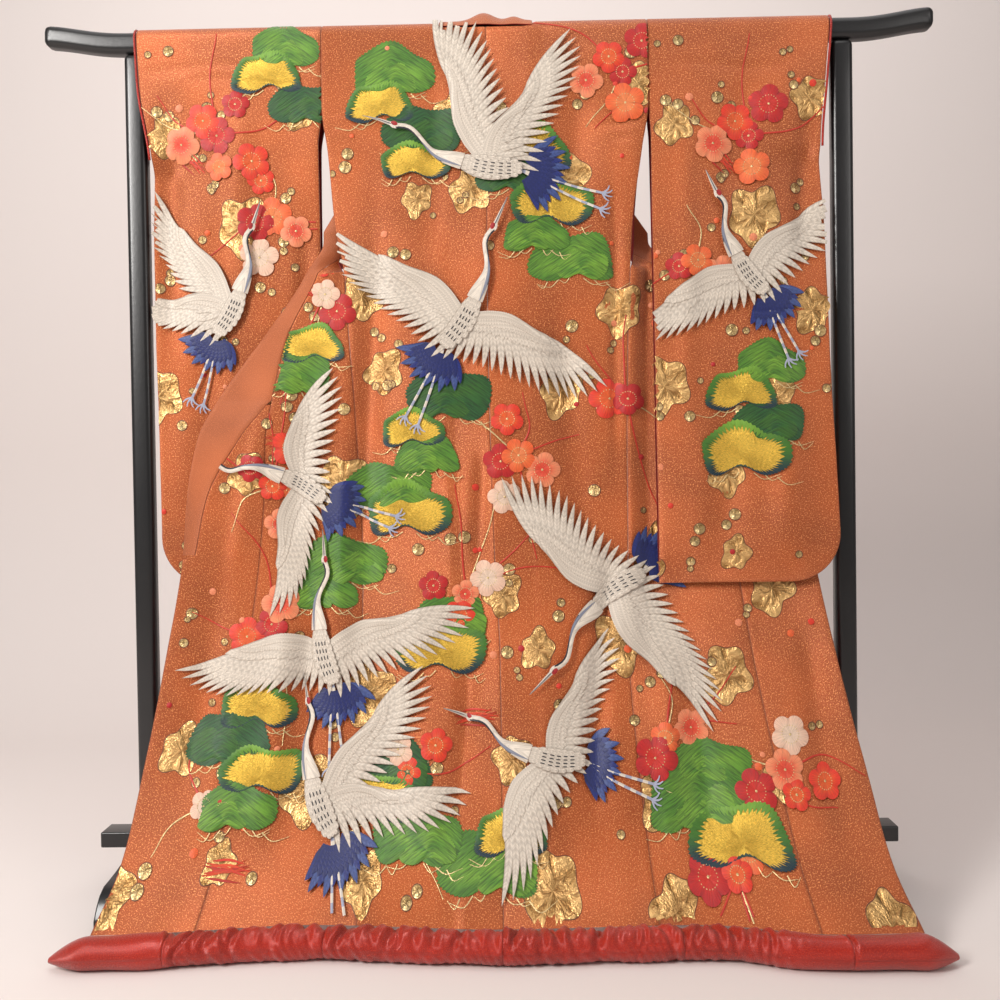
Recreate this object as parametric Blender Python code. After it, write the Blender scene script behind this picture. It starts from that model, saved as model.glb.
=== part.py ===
"""An uchikake wedding kimono hung by its sleeves on a lacquered kimono stand, hem spread on the floor.

Metres, +Z up. While it is modelled the rail's axis lies over Y = 0 and the middle of the stand at X = 0;
the garment's back faces -Y. At the end one empty carries everything to the middle of the whole box.
Left is the wearer's left, which is the side of -X.
"""

import itertools
import math

import bpy
from mathutils import Vector

# ------------------------------------------------------------------ driving sizes
WALL = 0.0020          # brocade, interlining and lining together
SEAM = 0.0003          # open line between two pieces that are sewn together
COLLAR_WALL = 0.0030   # the collar is a folded band

RAIL_LENGTH = 1.648
RAIL_HEIGHT = 0.040
RAIL_DEPTH = 0.036
RAIL_MIDDLE = 1.580    # height of the rail's axis
RAIL_UPTURN = 0.016    # rise of each end
RAIL_ROUNDING = 0.015

POST_SPAN = 1.312      # between the axes of the two posts
POST_WIDTH = 0.040
POST_DEPTH = 0.030
FOOT_LENGTH = 0.430
FOOT_WIDTH = 0.046
STRETCHER_LENGTH = 1.488
STRETCHER_HEIGHT = 0.029
STRETCHER_DEPTH = 0.050
STRETCHER_MIDDLE = 0.0905
CLEAR = 0.0004         # between pieces of the stand that are jointed together

DRAPE_DEPTH = 0.0230   # the cloth goes over the rail on this half ellipse
DRAPE_RISE = 0.0245
NECK_HALF = 0.092      # half width of the neck opening on the rail

SLEEVE_BOTTOM = 0.566
SLEEVE_CORNER = 0.090  # radius of the rounded outer corner
CUFF_BOTTOM = 1.360    # the hand opening ends here
ARMHOLE_BOTTOM = 1.448  # the sleeve is sewn to the body above this height

ROLL_DEPTH = 0.029     # half the depth of the padded hem roll
ROLL_HEIGHT = 0.0245   # half its height
ROLL_BACK = 0.027      # the cloth ends this far behind the roll's axis
HEM_HEIGHT = 0.040     # and this high

# ------------------------------------------------------------------ short tables
# Where the long seams stand, seen from behind the wearer. One row for each height.
SEAMS = (
    # height, edge_l, collar_l, okumi_l, side_l, middle, side_r, okumi_r, collar_r, edge_r
    (1.604, -0.320, -0.318, -0.312, -0.304, 0.000, 0.297, 0.300, 0.304, 0.306),
    (1.448, -0.318, -0.315, -0.309, -0.304, 0.000, 0.297, 0.299, 0.302, 0.304),
    (1.360, -0.312, -0.308, -0.301, -0.293, -0.001, 0.284, 0.289, 0.295, 0.300),
    (1.230, -0.300, -0.296, -0.290, -0.282, -0.002, 0.265, 0.276, 0.288, 0.294),
    (1.140, -0.335, -0.314, -0.314, -0.266, -0.003, 0.259, 0.318, 0.318, 0.350),
    (1.030, -0.409, -0.368, -0.368, -0.258, -0.003, 0.253, 0.362, 0.362, 0.432),
    (0.920, -0.492, -0.398, -0.398, -0.250, -0.002, 0.250, 0.398, 0.398, 0.505),
    (0.840, -0.537, -0.460, -0.412, -0.246, -0.001, 0.248, 0.416, 0.470, 0.548),
    (0.730, -0.558, -0.522, -0.416, -0.240, 0.001, 0.247, 0.430, 0.532, 0.572),
    (0.620, -0.566, -0.545, -0.425, -0.237, 0.004, 0.246, 0.442, 0.566, 0.584),
    (0.440, -0.592, -0.592, -0.445, -0.236, 0.012, 0.243, 0.464, 0.612, 0.612),
    (0.250, -0.614, -0.614, -0.459, -0.231, 0.013, 0.252, 0.488, 0.640, 0.640),
    (0.120, -0.623, -0.623, -0.468, -0.229, 0.014, 0.260, 0.501, 0.652, 0.652),
    (0.040, -0.642, -0.642, -0.479, -0.222, 0.015, 0.265, 0.513, 0.672, 0.672),
)
SEAM_COLUMNS = (
    "edge_l", "collar_l", "okumi_l", "side_l", "middle", "side_r", "okumi_r", "collar_r", "edge_r",
)

# How far the cloth stands forward of the rail, and how far the right front is drawn back behind its sleeve.
SWEEP = (
    # height, forward, drawn_back
    (1.580, 0.0235, 0.028),
    (1.230, 0.0360, 0.028),
    (1.030, 0.0440, 0.021),
    (0.840, 0.0510, 0.015),
    (0.620, 0.0620, 0.013),
    (0.530, 0.0720, 0.009),
    (0.440, 0.0880, 0.003),
    (0.345, 0.1110, 0.000),
    (0.250, 0.1480, 0.000),
    (0.160, 0.1960, 0.000),
    (0.100, 0.2420, 0.000),
    (0.040, 0.3020, 0.000),
)

# The axis of the hem roll wanders a little along the floor.
HEM_LINE = (
    # x, forward
    (-0.690, 0.340),
    (-0.550, 0.332),
    (-0.300, 0.304),
    (0.010, 0.325),
    (0.330, 0.313),
    (0.530, 0.350),
    (0.710, 0.346),
)

# Behind the rail each front hangs from the shoulder, turns back on itself in one soft fold and comes
# forward between the back and the sleeve. Outer is its armhole edge and inner its collar edge; pull
# and turn shape the fold.
FRONT_TURN = {
    -1: (
        # height, outer_x, outer_y, pull_x, pull_y, turn_x, turn_y, inner_x, inner_y, inner_height
        (1.580, -0.303, 0.0230, -0.232, 0.0230, -0.161, 0.0230, -0.090, 0.0230, 1.580),
        (1.540, -0.303, 0.0245, -0.235, 0.0340, -0.165, 0.0360, -0.112, 0.0290, 1.535),
        (1.448, -0.302, 0.0250, -0.220, 0.0750, -0.150, 0.0700, -0.168, 0.0300, 1.430),
        (1.360, -0.296, 0.0200, -0.180, 0.1000, -0.140, 0.0500, -0.225, 0.0080, 1.340),
        (1.295, -0.292, 0.0120, -0.170, 0.0900, -0.150, 0.0200, -0.268, -0.0200, 1.278),
        (1.230, -0.289, 0.0050, -0.190, 0.0850, -0.180, -0.0080, -0.302, -0.0390, 1.215),
    ),
    1: (
        (1.580, 0.296, 0.0230, 0.228, 0.0230, 0.160, 0.0230, 0.092, 0.0230, 1.580),
        (1.540, 0.296, 0.0245, 0.230, 0.0340, 0.165, 0.0360, 0.112, 0.0290, 1.535),
        (1.448, 0.295, 0.0250, 0.250, 0.0300, 0.200, 0.0640, 0.168, 0.0580, 1.430),
        (1.360, 0.286, 0.0200, 0.190, 0.0180, 0.120, 0.0980, 0.225, 0.0640, 1.340),
        (1.295, 0.277, 0.0040, 0.180, 0.0020, 0.130, 0.0900, 0.262, 0.0380, 1.278),
        (1.230, 0.269, -0.0200, 0.190, -0.0120, 0.180, 0.0600, 0.298, 0.0130, 1.215),
    ),
}
FLAT_AGAIN = 1.140      # below this the fronts lie open

# How each sleeve hangs from the rail: how far forward it is pushed, and its outer edge drawn in.
SLEEVES = {
    -1: {"inner": -0.3043, "free": -0.3130, "outer": -0.648},
    1: {"inner": 0.2973, "free": 0.3005, "outer": 0.630},
}
SLEEVE_HANG = (
    # height, forward_l, forward_r, drawn_in_l, drawn_in_r
    (1.604, 0.000, 0.000, 0.000, 0.000),
    (1.580, 0.000, 0.000, 0.001, 0.001),
    (1.500, 0.001, 0.003, 0.004, 0.008),
    (1.350, 0.003, 0.013, 0.023, 0.019),
    (1.200, 0.004, 0.026, 0.020, 0.014),
    (0.900, 0.005, 0.046, 0.023, 0.009),
    (0.700, 0.006, 0.060, 0.025, 0.002),
    (0.560, 0.006, 0.071, 0.025, 0.000),
)

COLLAR_END = 0.620      # the collar band's lower end
OKUMI_TOP = 0.905       # the overlap panel starts in the angle between front and collar
HEIGHTS = (
    1.540, 1.448, 1.360, 1.295, 1.230, 1.185, 1.140, 1.085, 1.030, OKUMI_TOP, 0.840, 0.730,
    COLLAR_END, 0.530, 0.440, 0.345, 0.250, 0.185, 0.120, 0.080, HEM_HEIGHT,
)
SIDE_NAMES = {-1: "left", 1: "right"}

BROCADE = ("brocade", (0.62, 0.22, 0.07), 0.45)
COLLAR_SILK = ("collar_silk", (0.80, 0.30, 0.14), 0.50)
HEM_SATIN = ("hem_satin", (0.62, 0.03, 0.015), 0.38)
LACQUER = ("black_lacquer", (0.006, 0.006, 0.007), 0.12)


# ------------------------------------------------------------------ reading the tables
def smooth(t):
    """0 to 1 with level ends."""
    t = min(max(t, 0.0), 1.0)
    return t * t * (3.0 - 2.0 * t)


def read(rows, column, at):
    """A column's value on the smooth curve through the rows, whose first column is the place."""
    places = [row[0] for row in rows]
    values = [row[column] for row in rows]
    if places[0] > places[-1]:
        places.reverse()
        values.reverse()
    at = min(max(at, places[0]), places[-1])
    last = len(places) - 2
    i = min(max(sum(place <= at for place in places) - 1, 0), last)
    slopes = [(values[k + 1] - values[k]) / (places[k + 1] - places[k]) for k in range(last + 1)]

    def tangent(k):
        before, after = slopes[max(k - 1, 0)], slopes[min(k, last)]
        if before * after <= 0:
            return 0.0
        return 2 * before * after / (before + after)

    width = places[i + 1] - places[i]
    t = (at - places[i]) / width
    return (
        values[i] * (1 + 2 * t) * (1 - t) ** 2
        + values[i + 1] * t * t * (3 - 2 * t)
        + tangent(i) * width * t * (1 - t) ** 2
        - tangent(i + 1) * width * t * t * (1 - t)
    )


def seam_x(name, height):
    return read(SEAMS, SEAM_COLUMNS.index(name) + 1, height)


def forward(height, x):
    """How far the open cloth stands in front of the rail's axis."""
    base = read(SWEEP, 1, height)
    reach = smooth((0.45 - height) / 0.41)
    base += reach * (read(HEM_LINE, 1, x) - ROLL_BACK - read(SWEEP, 1, HEM_HEIGHT))
    back = read(SWEEP, 2, height) * smooth((x - seam_x("side_r", height) - 0.004) / 0.036)
    return base - back


def over_rail(angle, side):
    """Place on the half ellipse over the rail: 0 is its top, 90 degrees level with the rail."""
    a = math.radians(angle)
    return side * DRAPE_DEPTH * math.sin(a), RAIL_MIDDLE + DRAPE_RISE * math.cos(a)


# ------------------------------------------------------------------ mesh making
def material(kind):
    name, colour, roughness = kind
    found = bpy.data.materials.get(name)
    if found:
        return found
    made = bpy.data.materials.new(name)
    made.use_nodes = True
    shader = made.node_tree.nodes["Principled BSDF"]
    shader.inputs["Base Color"].default_value = (*colour, 1.0)
    shader.inputs["Roughness"].default_value = roughness
    shader.inputs["Metallic"].default_value = 0.0
    return made


def add_object(name, points, faces, kind, flat=False):
    mesh = bpy.data.meshes.new(name)
    mesh.from_pydata([tuple(p) for p in points], [], faces)
    mesh.update()
    made = bpy.data.objects.new(name, mesh)
    bpy.context.collection.objects.link(made)
    mesh.materials.append(material(kind))
    if flat:
        return made
    mesh.shade_smooth()
    mesh.set_sharp_from_angle(angle=math.radians(40))
    return made


def grid_normals(rows):
    """One unit normal for each point of a grid, from its neighbours."""
    tall, wide = len(rows), len(rows[0])
    found = []
    for i, row in enumerate(rows):
        line = []
        for j in range(wide):
            across = row[min(j + 1, wide - 1)] - row[max(j - 1, 0)]
            down = rows[min(i + 1, tall - 1)][j] - rows[max(i - 1, 0)][j]
            line.append(across.cross(down).normalized())
        found.append(line)
    return found


def cloth_wall(name, rows, kind=BROCADE, wall=WALL, normals=None):
    """A closed wall of cloth around the grid of its middle surface."""
    tall, wide = len(rows), len(rows[0])
    normals = normals or grid_normals(rows)
    points = []
    for offset in (wall / 2, -wall / 2):
        for row, line in zip(rows, normals):
            points += [p + n * offset for p, n in zip(row, line)]
    layer = tall * wide

    def at(side, i, j):
        return side * layer + i * wide + j

    faces = []
    for i in range(tall - 1):
        for j in range(wide - 1):
            faces.append((at(0, i, j), at(0, i + 1, j), at(0, i + 1, j + 1), at(0, i, j + 1)))
            faces.append((at(1, i, j), at(1, i, j + 1), at(1, i + 1, j + 1), at(1, i + 1, j)))
    rim = [(0, j) for j in range(wide)]
    rim += [(i, wide - 1) for i in range(1, tall)]
    rim += [(tall - 1, j) for j in range(wide - 2, -1, -1)]
    rim += [(i, 0) for i in range(tall - 2, 0, -1)]
    for k, here in enumerate(rim):
        after = rim[(k + 1) % len(rim)]
        faces.append((at(0, *here), at(0, *after), at(1, *after), at(1, *here)))
    made = add_object(name, points, faces, kind)
    outward(made)
    return made


def outward(obj):
    """Turns a closed mesh so that its faces point out."""
    mesh = obj.data
    volume = 0.0
    for face in mesh.polygons:
        corners = [mesh.vertices[i].co for i in face.vertices]
        for k in range(1, len(corners) - 1):
            volume += corners[0].dot(corners[k].cross(corners[k + 1]))
    if volume < 0:
        mesh.flip_normals()


def swept(name, sections, kind):
    """A closed solid through rings of points, its two ends filled."""
    count = len(sections[0])
    points = [p for ring in sections for p in ring]
    faces = []
    for s in range(len(sections) - 1):
        for k in range(count):
            after = (k + 1) % count
            low, high = s * count, (s + 1) * count
            faces.append((low + k, low + after, high + after, high + k))
    faces.append(tuple(range(count - 1, -1, -1)))
    top = (len(sections) - 1) * count
    faces.append(tuple(range(top, top + count)))
    made = add_object(name, points, faces, kind)
    outward(made)
    return made


# ------------------------------------------------------------------ the body of the garment
def open_normals(rows):
    """Normals of the opened cloth, the same on both sides of a seam."""
    step = 0.004
    found = []
    for row in rows:
        line = []
        for p in row:
            side = (forward(p.z, p.x + step) - forward(p.z, p.x - step)) / (2 * step)
            high = min(p.z + step, RAIL_MIDDLE)
            low = max(p.z - step, HEM_HEIGHT)
            up = (forward(high, p.x) - forward(low, p.x)) / (high - low)
            line.append(Vector((-side, -1.0, -up)).normalized())
        found.append(line)
    return found


# Columns of a back panel, as shares of its width from the side seam to the middle; close at the neck.
BACK_COLUMNS = (0.0, 0.19, 0.38, 0.54, 0.64, 0.68, 0.72, 0.76, 0.88, 1.0)


def neck_angle(x):
    """Where the back starts on the drape over the rail: its top, or lower in the neck opening."""
    return 66.0 * (1.0 - smooth((abs(x) - NECK_HALF + 0.018) / 0.034))


def make_back(side):
    side_seam = "side_l" if side < 0 else "side_r"

    def spread(height):
        x0 = seam_x(side_seam, height) - side * SEAM / 2
        x1 = seam_x("middle", height) + side * SEAM / 2
        return [x0 + (x1 - x0) * share for share in BACK_COLUMNS]

    rows = []
    normals = []
    for part in range(6):
        row = []
        line = []
        for x in spread(RAIL_MIDDLE):
            start = neck_angle(x) + 0.8
            angle = start + (90.0 - start) * part / 5
            y, z = over_rail(angle, -1)
            a = math.radians(angle)
            row.append(Vector((x, y, z)))
            line.append(Vector((0, -math.sin(a) * DRAPE_RISE, math.cos(a) * DRAPE_DEPTH)).normalized())
        rows.append(row)
        normals.append(line)
    for height in HEIGHTS:
        rows.append([Vector((x, -forward(height, x), height)) for x in spread(height)])
    normals += open_normals(rows[6:])
    return cloth_wall("back_" + SIDE_NAMES[side], rows, normals=normals)


def front_section(side, height, columns):
    """A row of a whole front with its collar, from the side seam to the free edge."""
    near, far = (("side_l", "edge_l") if side < 0 else ("side_r", "edge_r"))
    if height <= FLAT_AGAIN:
        x0 = seam_x(near, height) + side * SEAM / 2
        x1 = seam_x(far, height)
        row = [x0 + (x1 - x0) * j / columns for j in range(columns + 1)]
        return [Vector((x, -forward(height, x), height)) for x in row]
    turn = FRONT_TURN[side]
    back = smooth((height - FLAT_AGAIN) / (turn[-1][0] - FLAT_AGAIN))
    level = max(height, turn[-1][0])
    values = [read(turn, k, level) for k in range(1, 10)]
    inner_height = values[8] if level == height else height - 0.015 * back
    shape = [
        Vector((values[0], values[1], height)),
        Vector((values[2], values[3], height + (inner_height - height) / 3)),
        Vector((values[4], values[5], height + (inner_height - height) * 2 / 3)),
        Vector((values[6], values[7], inner_height)),
    ]
    if back < 1:
        x0 = seam_x(near, height) + side * 0.002
        x1 = seam_x(far, height)
        for k, point in enumerate(shape):
            x = x0 + (x1 - x0) * k / 3
            turned = back**0.4 if k < 2 else back
            shape[k] = Vector((x, -forward(height, x), height)).lerp(point, turned)
    row = []
    for j in range(columns + 1):
        t = j / columns
        weights = ((1 - t) ** 3, 3 * t * (1 - t) ** 2, 3 * t * t * (1 - t), t**3)
        row.append(sum((point * weight for point, weight in zip(shape, weights)), Vector()))
    return row


def along(row, t):
    """A point part of the way along a row."""
    place = min(max(t, 0.0), 1.0) * (len(row) - 1)
    i = min(int(place), len(row) - 2)
    return row[i].lerp(row[i + 1], place - i)


def share(side, height, name):
    """How far across a front row a seam line lies, 0 at the side seam and 1 at the free edge."""
    letter = "l" if side < 0 else "r"
    level = min(height, FLAT_AGAIN)
    near, far = seam_x("side_" + letter, level), seam_x("edge_" + letter, level)
    return (seam_x(name + "_" + letter, level) - near) / (far - near)


def ridge_rows(side, columns):
    """The first rows of a front, from the top of the rail down behind it."""
    turn = FRONT_TURN[side][0]
    rows = []
    for angle in (0.8, 22, 45, 67):
        y, z = over_rail(angle, 1)
        width = turn[7] - turn[1]
        rows.append([Vector((turn[1] + width * j / columns, y, z)) for j in range(columns + 1)])
    return rows


def front_cloth(side):
    """Every row of a whole front from the rail to the hem: height, points and normals."""
    columns = 24
    heights = [RAIL_MIDDLE] * 5 + list(HEIGHTS)
    rows = ridge_rows(side, columns) + [front_section(side, h, columns) for h in heights[4:]]
    normals = grid_normals(rows)
    for i, row in enumerate(rows):
        if row[0].z < FLAT_AGAIN + 0.001:
            level = open_normals([row])[0]
            normals[i] = [n if n.dot(old) > 0 else -n for n, old in zip(level, normals[i])]
    return list(zip(heights, rows, normals))


def front_strip(name, cloth, start, stop, columns, kind=BROCADE):
    """The part of a front between two shares of its width, which are functions of the height."""
    rows = []
    normals = []
    for height, row, across in cloth:
        t0, t1 = start(height), stop(height)
        width = sum((b - a).length for a, b in zip(row, row[1:]))
        t0 += SEAM / 2 / width if t0 > 0 else 0.0
        t1 -= SEAM / 2 / width if t1 < 1 else 0.0
        places = [t0 + (t1 - t0) * j / columns for j in range(columns + 1)]
        rows.append([along(row, t) for t in places])
        normals.append([along(across, t).normalized() for t in places])
    return cloth_wall(name, rows, kind, normals=normals)


def make_front(side):
    """A front with its overlap panel and its collar band, cut from one fall of cloth."""
    cloth = front_cloth(side)
    word = SIDE_NAMES[side]

    def okumi(height):
        return share(side, height, "okumi")

    def collar(height):
        return share(side, height, "collar" if height < OKUMI_TOP + 0.001 else "okumi")

    def collar_or_edge(height):
        return collar(height) if height > COLLAR_END - 0.001 else 1.0

    upper = [level for level in cloth if level[0] > COLLAR_END - 0.001]
    lower = [level for level in cloth if level[0] < OKUMI_TOP + 0.001]
    parts = [front_strip("front_" + word, cloth, lambda h: 0.0, okumi, 7)]
    parts.append(front_strip("okumi_" + word, lower, okumi, collar_or_edge, 4))
    parts.append(front_strip("collar_" + word, upper, collar, lambda h: 1.0, 3, COLLAR_SILK))
    return parts


def make_neck_collar():
    """The band behind the neck, standing in two low humps over the rail."""
    half, columns = NECK_HALF - 0.006, 12
    rows = []
    for angle in (-66, -44, -22, 0, 22, 44, 66, 90):
        row = []
        for j in range(columns + 1):
            x = -half + 2 * half * j / columns
            hump = 0.016 * math.exp(-((x + 0.004) / 0.026) ** 2)
            hump += 0.008 * math.exp(-((x - 0.052) / 0.016) ** 2)
            y, z = over_rail(abs(angle), -1 if angle < 0 else 1)
            lift = 0.0026 + hump * math.cos(math.radians(angle)) ** 2
            row.append(Vector((x, y * 1.06, z + lift)))
        rows.append(row)
    for down, back in ((0.030, 0.002), (0.070, 0.006)):
        rows.append([Vector((p.x, p.y + back, p.z - down)) for p in rows[7]])
    return cloth_wall("collar_neck", rows, COLLAR_SILK)


# ------------------------------------------------------------------ sleeves
CUFF_HEIGHTS = (1.540, ARMHOLE_BOTTOM, 1.400, CUFF_BOTTOM)


def sleeve_forward(side, height):
    return read(SLEEVE_HANG, 1 if side < 0 else 2, height)


def sleeve_outer(side, height):
    return SLEEVES[side]["outer"] - side * read(SLEEVE_HANG, 3 if side < 0 else 4, height)


def half_gap(height):
    """Half the room inside a sleeve where it is open."""
    return DRAPE_DEPTH + (0.0105 - DRAPE_DEPTH) * smooth((RAIL_MIDDLE - height) / 0.40)


def corner_inset(height):
    """How far the rounded corner draws the outer edge in at this height."""
    low = max(SLEEVE_BOTTOM + SLEEVE_CORNER - height, 0.0)
    return SLEEVE_CORNER - math.sqrt(max(SLEEVE_CORNER**2 - low * low, 0.0))


def make_sleeve_half(side, face):
    """Half a sleeve bag: face -1 hangs before the rail, with the back, and +1 behind it."""
    columns = 6
    rows = []
    x_in = SLEEVES[side]["inner"]
    for angle in (0.8, 22, 45, 67, 90):
        y, z = over_rail(angle, face)
        x_out = sleeve_outer(side, z)
        rows.append([Vector((x_in + (x_out - x_in) * j / columns, y, z)) for j in range(columns + 1)])
    heights = list(CUFF_HEIGHTS) + [1.330, 1.230, 1.085, 0.920, 0.790]
    corner = (0, 25, 45, 62, 76, 88)
    heights += [SLEEVE_BOTTOM + SLEEVE_CORNER * (1 - math.sin(math.radians(a))) for a in corner]
    sewn = (WALL + SEAM) / 2
    for height in heights:
        free = smooth((ARMHOLE_BOTTOM - height) / 0.07)
        x_near = x_in + (SLEEVES[side]["free"] - x_in) * free
        x_far = sleeve_outer(side, height) - side * corner_inset(height)
        edge_sewn = smooth((CUFF_BOTTOM + 0.01 - height) / 0.04)
        bottom_sewn = smooth((SLEEVE_BOTTOM + 0.075 - height) / 0.073)
        row = []
        for j in range(columns + 1):
            t = j / columns
            closed = max(edge_sewn * smooth((t - 0.62) / 0.38), bottom_sewn)
            apart = half_gap(height) * (1 - closed) + sewn * closed
            y = -sleeve_forward(side, height) + face * apart
            row.append(Vector((x_near + (x_far - x_near) * t, y, height)))
        rows.append(row)
    normals = grid_normals(rows)
    for line in normals:
        for n in line:
            n.x *= 0.15
            n.normalize()
    half = "back" if face < 0 else "front"
    return cloth_wall(f"sleeve_{SIDE_NAMES[side]}_{half}", rows, normals=normals)


def make_cuff_roll(side, face):
    """The thin padded edge of red lining that stands out of the hand opening."""
    radius = 0.0022
    places = [Vector((0, *over_rail(angle, face))) for angle in (9, 22, 45, 67, 90)]
    places += [Vector((0, -sleeve_forward(side, h) + face * half_gap(h), h)) for h in CUFF_HEIGHTS]
    for place in places:
        place.x = sleeve_outer(side, place.z) + side * (radius + 4 * SEAM)
    sections = []
    for k, place in enumerate(places):
        ahead = places[min(k + 1, len(places) - 1)] - places[max(k - 1, 0)]
        sideways = Vector((1, 0, 0))
        normal = sideways.cross(ahead).normalized()
        ring = []
        for corner in range(6):
            a = math.radians(60 * corner)
            ring.append(place + (sideways * math.cos(a) + normal * math.sin(a)) * radius)
        sections.append(ring)
    half = "back" if face < 0 else "front"
    return swept(f"cuff_{SIDE_NAMES[side]}_{half}", sections, HEM_SATIN)


# ------------------------------------------------------------------ hem roll
ROLL_SEAMS = (-0.694, -0.512, -0.268, 0.015, 0.296, 0.545, 0.712)
ROLL_NAMES = ("okumi_left", "front_left", "back_left", "back_right", "front_right", "okumi_right")
ROLL_TAPER = 0.060


ROLL_SIDES = 12
ROLL_STEPS = 8
STRAIGHT_STEPS = 5
TAPER_STEPS = (0, 0.12, 0.35, 0.7)
FULL_ROLL = 0.995      # from this share of its thickness the roll lies flat on the floor


def roll_ring(x, sides):
    """The hem roll's section, level where it lies on the floor."""
    end = min(x - ROLL_SEAMS[0], ROLL_SEAMS[-1] - x)
    full = 0.18 + 0.82 * math.sqrt(smooth(end / ROLL_TAPER))
    ahead = read(HEM_LINE, 1, x)
    depth, tall = ROLL_DEPTH * full, ROLL_HEIGHT * full
    axis = ROLL_HEIGHT * (0.55 + 0.45 * full)
    ring = []
    for k in range(sides):
        a = 2 * math.pi * (k + 0.5) / sides
        z = axis + tall * math.sin(a)
        ring.append(Vector((x, -ahead - depth * math.cos(a), z)))
    if full > FULL_ROLL:
        lowest = min(p.z for p in ring)
        for p in ring:
            p.z -= lowest if p.z < lowest + 1e-6 else 0.0
    return ring


def make_roll(index):
    """One of six lengths of the roll, the first and the last tapering to their ends."""
    last = len(ROLL_NAMES) - 1
    x0 = ROLL_SEAMS[index] + (SEAM / 2 if index else 0.0)
    x1 = ROLL_SEAMS[index + 1] - (SEAM / 2 if index < last else 0.0)
    straight = x1 - x0 - ROLL_TAPER
    if index == 0:
        places = [x0 + ROLL_TAPER * t for t in TAPER_STEPS]
        places += [x0 + ROLL_TAPER + straight * k / STRAIGHT_STEPS for k in range(STRAIGHT_STEPS + 1)]
    elif index == last:
        places = [x0 + straight * k / STRAIGHT_STEPS for k in range(STRAIGHT_STEPS + 1)]
        places += [x1 - ROLL_TAPER * t for t in reversed(TAPER_STEPS)]
    else:
        places = [x0 + (x1 - x0) * k / ROLL_STEPS for k in range(ROLL_STEPS + 1)]
    return swept("hem_roll_" + ROLL_NAMES[index], [roll_ring(x, ROLL_SIDES) for x in places], HEM_SATIN)


# ------------------------------------------------------------------ the stand
def bevelled_box(name, low, high, width, segments=3):
    """A block with rounded edges."""
    corners = itertools.product((low[0], high[0]), (low[1], high[1]), (low[2], high[2]))
    points = [Vector(corner) for corner in corners]
    faces = [(0, 1, 3, 2), (4, 6, 7, 5), (0, 4, 5, 1), (2, 3, 7, 6), (0, 2, 6, 4), (1, 5, 7, 3)]
    made = add_object(name, points, faces, LACQUER)
    outward(made)
    bevel = made.modifiers.new("rounded edges", "BEVEL")
    bevel.width = width
    bevel.segments = segments
    bevel.limit_method = "ANGLE"
    return made


def make_rail():
    half = RAIL_LENGTH / 2
    stops = (-1.0, -0.994, -0.975, -0.94, -0.90, -0.86, -0.80, 0.80, 0.86, 0.90, 0.94, 0.975, 0.994, 1.0)
    sections = []
    for stop in stops:
        rise = RAIL_UPTURN * smooth((abs(stop) - 0.80) / 0.20) ** 1.5
        small = 1.0 - 0.12 * smooth((abs(stop) - 0.985) / 0.015)
        ring = []
        for corner in range(4):
            cy, cz = ((1, 1), (-1, 1), (-1, -1), (1, -1))[corner]
            for k in range(5):
                a = math.radians(90 * corner + 22.5 * k)
                y = cy * (RAIL_DEPTH / 2 - RAIL_ROUNDING) + RAIL_ROUNDING * math.cos(a)
                z = cz * (RAIL_HEIGHT / 2 - RAIL_ROUNDING) + RAIL_ROUNDING * math.sin(a)
                ring.append(Vector((half * stop, y * small, RAIL_MIDDLE + rise + z * small)))
        sections.append(ring)
    return swept("stand_rail", sections, LACQUER)


def make_post(side):
    x = side * POST_SPAN / 2
    return bevelled_box(
        "stand_post_" + SIDE_NAMES[side],
        (x - POST_WIDTH / 2, -POST_DEPTH / 2, STRETCHER_MIDDLE + STRETCHER_HEIGHT / 2 + CLEAR),
        (x + POST_WIDTH / 2, POST_DEPTH / 2, RAIL_MIDDLE - RAIL_HEIGHT / 2 - CLEAR),
        0.011,
    )


def make_stretcher():
    half = STRETCHER_LENGTH / 2
    low = STRETCHER_MIDDLE - STRETCHER_HEIGHT / 2
    return bevelled_box(
        "stand_stretcher",
        (-half, -STRETCHER_DEPTH / 2, low),
        (half, STRETCHER_DEPTH / 2, low + STRETCHER_HEIGHT),
        0.0025,
    )


def make_foot(side):
    """A runner front to back, level on top under the stretcher and rounded down to both ends."""
    x = side * POST_SPAN / 2
    half = FOOT_LENGTH / 2
    top = STRETCHER_MIDDLE - STRETCHER_HEIGHT / 2 - CLEAR
    outline = [(-half, 0.000), (-half, 0.018)]
    outline += [(-half + 0.004, 0.032), (-half + 0.016, 0.047)]
    outline += [(-half + 0.045, 0.062), (-half + 0.100, 0.071)]
    outline += [(-half + 0.150, top)]
    outline += [(-y, z) for y, z in reversed(outline)]
    sections = []
    for edge, inset in ((-1, 0.0025), (-0.9, 0.0), (0.9, 0.0), (1, 0.0025)):
        ring = []
        for y, z in outline:
            y_in = y - math.copysign(inset, y)
            z_in = z - inset if z > 0.001 else z
            ring.append(Vector((x + edge * FOOT_WIDTH / 2, y_in, z_in)))
        sections.append(ring)
    return swept("stand_foot_" + SIDE_NAMES[side], sections, LACQUER)


# ------------------------------------------------------------------ putting it together
def stand_on_origin(parts):
    """Carries everything so that the middle of the whole box's floor is the origin."""
    bpy.context.view_layer.update()
    graph = bpy.context.evaluated_depsgraph_get()
    points = []
    for part in parts:
        mesh = part.evaluated_get(graph).data
        points += [v.co.copy() for v in mesh.vertices]
    low = [min(p[k] for p in points) for k in range(3)]
    high = [max(p[k] for p in points) for k in range(3)]
    carrier = bpy.data.objects.new("kimono_on_stand", None)
    bpy.context.collection.objects.link(carrier)
    carrier.location = (-(low[0] + high[0]) / 2, -(low[1] + high[1]) / 2, -low[2])
    for part in parts:
        part.parent = carrier
    print("carried by", tuple(round(c, 5) for c in carrier.location))


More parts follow.
